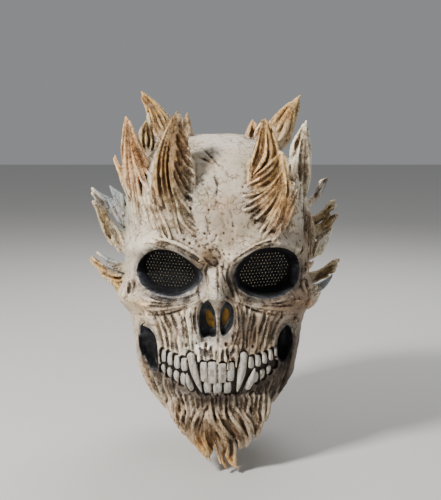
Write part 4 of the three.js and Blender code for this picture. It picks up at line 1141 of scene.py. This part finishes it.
# dry brushing on the ridges, strengthened into a painted highlight
highlight = reckon("MULTIPLY", span(crease_rough, -0.15, -0.8), span(small, 0.35, 0.6, 0.4, 1))
colour = multiplied(colour, (1.75, 1.73, 1.68), reckon("MULTIPLY", highlight, 0.85))
warp = nodes.new("ShaderNodeVectorMath")
warp.operation = "MULTIPLY_ADD"
warp_noise = nodes.new("ShaderNodeTexNoise")
feed(warp_noise.inputs["Vector"], place)
warp_noise.inputs["Scale"].default_value = 160
feed(warp.inputs[0], warp_noise.outputs["Color"])
warp.inputs[1].default_value = (0.006, 0.006, 0.006)
feed(warp.inputs[2], place)
crackle = nodes.new("ShaderNodeTexVoronoi")
crackle.feature = "DISTANCE_TO_EDGE"
feed(crackle.inputs["Vector"], warp.outputs[0])
crackle.inputs["Scale"].default_value = 150
cracked = reckon("MULTIPLY", span(crackle.outputs["Distance"], 0.075, 0.01), span(cloud(55, 3), 0.47, 0.6))
colour = multiplied(colour, (0.3, 0.24, 0.18), reckon("MULTIPLY", cracked, 0.75))
colour = multiplied(colour, (0.8, 0.86, 0.78), span(cloud(38, 3), 0.5, 0.66, 0, 0.6))
colour = multiplied(colour, (1.0, 0.86, 0.74), span(cloud(33, 2), 0.5, 0.66, 0, 0.6))
pores = nodes.new("ShaderNodeTexVoronoi")
feed(pores.inputs["Vector"], place)
pores.inputs["Scale"].default_value = 260
pore = span(reckon("ADD", pores.outputs["Distance"], span(cloud(70, 2), 0.4, 0.62, 0.6, 0)), 0.22, 0.12)
colour = over(colour, pigment(62, 46, 34), reckon("MULTIPLY", pore, 0.75))
enamel_streaks = span(cloud(500, 3, (1, 1, 0.25)), 0.4, 0.7, 0, 0.8)
enamel = over(pigment(197, 192, 183), pigment(132, 120, 104), enamel_streaks)
# brown stain at the gums together with painted shade at the teeth's edges and in the gaps between them
enamel = over(enamel, pigment(78, 64, 50), span(crease_rough, -0.35, 0.3, 0, 0.9))
enamel = over(enamel, pigment(36, 29, 24), span(crease_rough, 0.0, 0.6, 0, 0.95))
colour = over(colour, pigment(38, 31, 27), reckon("MULTIPLY", mask_of("mouth"), 0.95))
colour = over(colour, enamel, mask_of("tooth"))
socket_black = over(pigment(9, 9, 12), pigment(44, 52, 64), span(cloud(90, 3), 0.5, 0.75, 0, 0.5))
# round the openings: the mask's black haze together with painted shade
haze_and_shade = reckon("MULTIPLY", mask_of("haze_and_shade"), span(cloud(130, 3), 0.3, 0.6, 0.35, 1))
colour = multiplied(colour, (0.3, 0.3, 0.32), span(haze_and_shade, 0.1, 0.8, 0, 0.9))
# painted light: near the front and below the eyes' middle, the black openings' walls are lighter grey, as if
# lit from above
painted_rim_light = reckon("MULTIPLY", mask_of("rim"), span(cloud(140, 3), 0.35, 0.65, 0.15, 0.85))
socket_black = over(socket_black, pigment(96, 100, 106), painted_rim_light)
dark_mask = span(reckon("ADD", mask_of("dark"), span(small, 0.3, 0.7, -0.12, 0.12)), 0.35, 0.7)
colour = over(colour, socket_black, dark_mask)
latex = over(pigment(236, 230, 218), pigment(216, 206, 188), span(broad, 0.4, 0.65))
colour = over(colour, latex, mask_of("inside"))
feed(shader.inputs["Base Color"], colour)
feed(shader.inputs["Roughness"], span(small, 0.3, 0.7, 0.5, 0.72))
shader.inputs["Specular IOR Level"].default_value = 0.35
height = reckon("ADD", reckon("MULTIPLY", fine, 0.5), reckon("MULTIPLY", small, 0.6))
height = reckon("ADD", height, reckon("MULTIPLY", reckon("MULTIPLY", lines, hair), 0.9))
height = reckon("SUBTRACT", height, reckon("ADD", pore, reckon("MULTIPLY", cracked, 0.8)))
roughened(height, 0.55, 0.0007)
casting_mesh.materials.append(bone_paint)
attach(casting, "root")
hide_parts("mask_casting")

# Eye panels: thin sheets of black plastic, perforated with small round holes that the wearer sees through.
# Each is cut to the socket's outline with a lap all round, and glued behind it.
PANEL_THICKNESS, PANEL_LAP, SEAT_GAP, HOLE_WIDTH, HOLE_PITCH = 1.2, 2.2, 0.3, 1.8, 3.7
sheet_tree = bpy.data.node_groups.new("perforated_sheet", "GeometryNodeTree")
sheet_tree.interface.new_socket("Outline", in_out="INPUT", socket_type="NodeSocketGeometry")
for name, kind in [
    ("Hole Width", "Float"), ("Hole Pitch", "Float"), ("Edge", "Float"), ("Thickness", "Float"),
    ("Turn", "Rotation"), ("Place", "Vector"), ("Finish", "Material"),
]:
    sheet_tree.interface.new_socket(name, in_out="INPUT", socket_type="NodeSocket" + kind)
sheet_tree.interface.new_socket("Sheet", in_out="OUTPUT", socket_type="NodeSocketGeometry")


def step(kind, settings, *feeds):
    """Adds a node to the sheet's tree, with its settings and what feeds its sockets, by name or number."""
    node = sheet_tree.nodes.new(kind)
    for setting, value in settings.items():
        setattr(node, setting, value)
    for name, value in feeds:
        if isinstance(value, bpy.types.NodeSocket):
            sheet_tree.links.new(value, node.inputs[name])
        else:
            node.inputs[name].default_value = value
    return node.outputs


def worked(operation, *values):
    """A number worked out in the sheet's tree."""
    return step("ShaderNodeMath", {"operation": operation}, *enumerate(values))[0]


GRID_STEPS = 30
given = step("NodeGroupInput", {})
edge_curve = step("GeometryNodeMeshToCurve", {}, ("Mesh", given["Outline"]))[0]
plate = step("GeometryNodeFillCurve", {}, (0, edge_curve))[0]
lattice = step(
    "GeometryNodeMeshGrid", {}, ("Size X", 1.0), ("Size Y", 1.0),
    ("Vertices X", GRID_STEPS + 1), ("Vertices Y", GRID_STEPS + 1),
)[0]
lattice_place = step("GeometryNodeInputPosition", {})[0]
parts = step("ShaderNodeSeparateXYZ", {}, (0, lattice_place))
row = worked("ROUND", worked("MULTIPLY", parts[1], float(GRID_STEPS)))
odd = worked("FLOORED_MODULO", row, 2.0)
column = worked("MULTIPLY_ADD", odd, 0.5, worked("MULTIPLY", parts[0], float(GRID_STEPS)))
hole_x = worked("MULTIPLY", column, given["Hole Pitch"])
hole_y = worked("MULTIPLY", row, worked("MULTIPLY", given["Hole Pitch"], math.sqrt(3) / 2))
hole_place = step("ShaderNodeCombineXYZ", {}, (0, hole_x), (1, hole_y))[0]
centres = step("GeometryNodeSetPosition", {}, ("Geometry", lattice), ("Position", hole_place))[0]
hole_at = step("GeometryNodeInputPosition", {})[0]
above = step("ShaderNodeVectorMath", {"operation": "ADD"}, (0, hole_at), (1, (0, 0, 0.01)))[0]
on_plate = step(
    "GeometryNodeRaycast", {}, ("Target Geometry", plate), ("Source Position", above),
    ("Ray Direction", (0, 0, -1)), ("Ray Length", 0.1),
)["Is Hit"]
from_edge = step("GeometryNodeProximity", {"target_element": "EDGES"}, (0, given["Outline"]))["Distance"]
clear = worked("GREATER_THAN", from_edge, given["Edge"])
outside = worked("SUBTRACT", 1.0, worked("MULTIPLY", on_plate, clear))
centres = step("GeometryNodeDeleteGeometry", {}, ("Geometry", centres), ("Selection", outside))[0]
hole_radius = worked("MULTIPLY", given["Hole Width"], 0.5)
ring = step("GeometryNodeCurvePrimitiveCircle", {}, ("Resolution", 8), ("Radius", hole_radius))[0]
rings = step("GeometryNodeInstanceOnPoints", {}, ("Points", centres), ("Instance", ring))[0]
rings = step("GeometryNodeRealizeInstances", {}, ("Geometry", rings))[0]
joined = sheet_tree.nodes.new("GeometryNodeJoinGeometry")
sheet_tree.links.new(edge_curve, joined.inputs[0])
sheet_tree.links.new(rings, joined.inputs[0])
sheet = step("GeometryNodeFillCurve", {}, (0, joined.outputs[0]))[0]
drop = step("ShaderNodeCombineXYZ", {}, (2, worked("MULTIPLY", given["Thickness"], -1.0)))[0]
far_side = step(
    "GeometryNodeExtrudeMesh", {}, ("Mesh", sheet), ("Offset", drop), ("Offset Scale", 1.0),
    ("Individual", False),
)[0]
closed = sheet_tree.nodes.new("GeometryNodeJoinGeometry")
sheet_tree.links.new(step("GeometryNodeFlipFaces", {}, ("Mesh", sheet))[0], closed.inputs[0])
sheet_tree.links.new(far_side, closed.inputs[0])
welded = step("GeometryNodeMergeByDistance", {}, ("Geometry", closed.outputs[0]), ("Distance", 1e-5))[0]
seated = step(
    "GeometryNodeTransform", {}, ("Geometry", welded), ("Rotation", given["Turn"]),
    ("Translation", given["Place"]),
)[0]
real = step("GeometryNodeRealizeInstances", {}, ("Geometry", seated))[0]
finished = step("GeometryNodeSetMaterial", {}, ("Geometry", real), ("Material", given["Finish"]))[0]
step("NodeGroupOutput", {}, (0, finished))

panel_black = new_paint("panel_black")
scuffs = span(cloud(300, 3), 0.4, 0.7)
feed(shader.inputs["Base Color"], over(pigment(8, 8, 10), pigment(20, 19, 20), scuffs))
feed(shader.inputs["Roughness"], span(cloud(500, 3), 0.3, 0.7, 0.5, 0.7))
shader.inputs["Specular IOR Level"].default_value = 0.2

for side, word in ((-1, "left"), (1, "right")):
    edge = bend(np.concatenate([socket_corners, socket_corners[:1]]), 48)[:-1]
    edge = edge * (side, 1) * (SOCKET_WIDTH / 2 + PANEL_LAP, SOCKET_HEIGHT / 2 + PANEL_LAP) / 1000
    count = len(edge)
    outline_mesh = bpy.data.meshes.new("panel_outline")
    outline_mesh.from_pydata([(x, y, 0) for x, y in edge], [(n, (n + 1) % count) for n in range(count)], [])
    panel = bpy.data.objects.new("eye_mesh_" + word, outline_mesh)
    bpy.context.collection.objects.link(panel)
    modifier = panel.modifiers.new("holes", "NODES")
    modifier.node_group = sheet_tree
    values = {
        "Hole Width": HOLE_WIDTH / 1000,
        "Hole Pitch": HOLE_PITCH / 1000,
        "Edge": (PANEL_LAP + HOLE_WIDTH * 0.4) / 1000,
        "Thickness": PANEL_THICKNESS / 1000,
        "Turn": (math.radians(90), 0, side * socket_yaw),
        "Place": (side * socket_x / 1000, (socket_y + SEAT_GAP) / 1000, socket_z / 1000),
        "Finish": panel_black,
    }
    for item in sheet_tree.interface.items_tree:
        if item.in_out == "INPUT" and item.name in values:
            modifier[item.identifier] = values[item.name]
    panel.data = bpy.data.meshes.new_from_object(panel.evaluated_get(bpy.context.evaluated_depsgraph_get()))
    panel.modifiers.remove(modifier)
    outward = bmesh.new()
    outward.from_mesh(panel.data)
    bmesh.ops.recalc_face_normals(outward, faces=outward.faces)
    outward.to_mesh(panel.data)
    outward.free()
    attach(panel, "root")
    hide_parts("eye_panel_" + word)

# Nose pad: a soft amber foam pad, glued inside behind the nose and seen through the two slots. Its shape is
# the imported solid's, and only its look is made here.
amber_foam = new_paint("amber_foam_pad")
mottle = span(cloud(260, 4), 0.35, 0.65)
feed(shader.inputs["Base Color"], over(pigment(176, 130, 42), pigment(120, 84, 24), mottle))
feed(shader.inputs["Roughness"], span(cloud(700, 3), 0.3, 0.7, 0.6, 0.85))
roughened(cloud(1400, 3), 0.5, 0.0006)
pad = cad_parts["nose_pad"]
pad.data.materials.clear()
pad.data.materials.append(amber_foam)
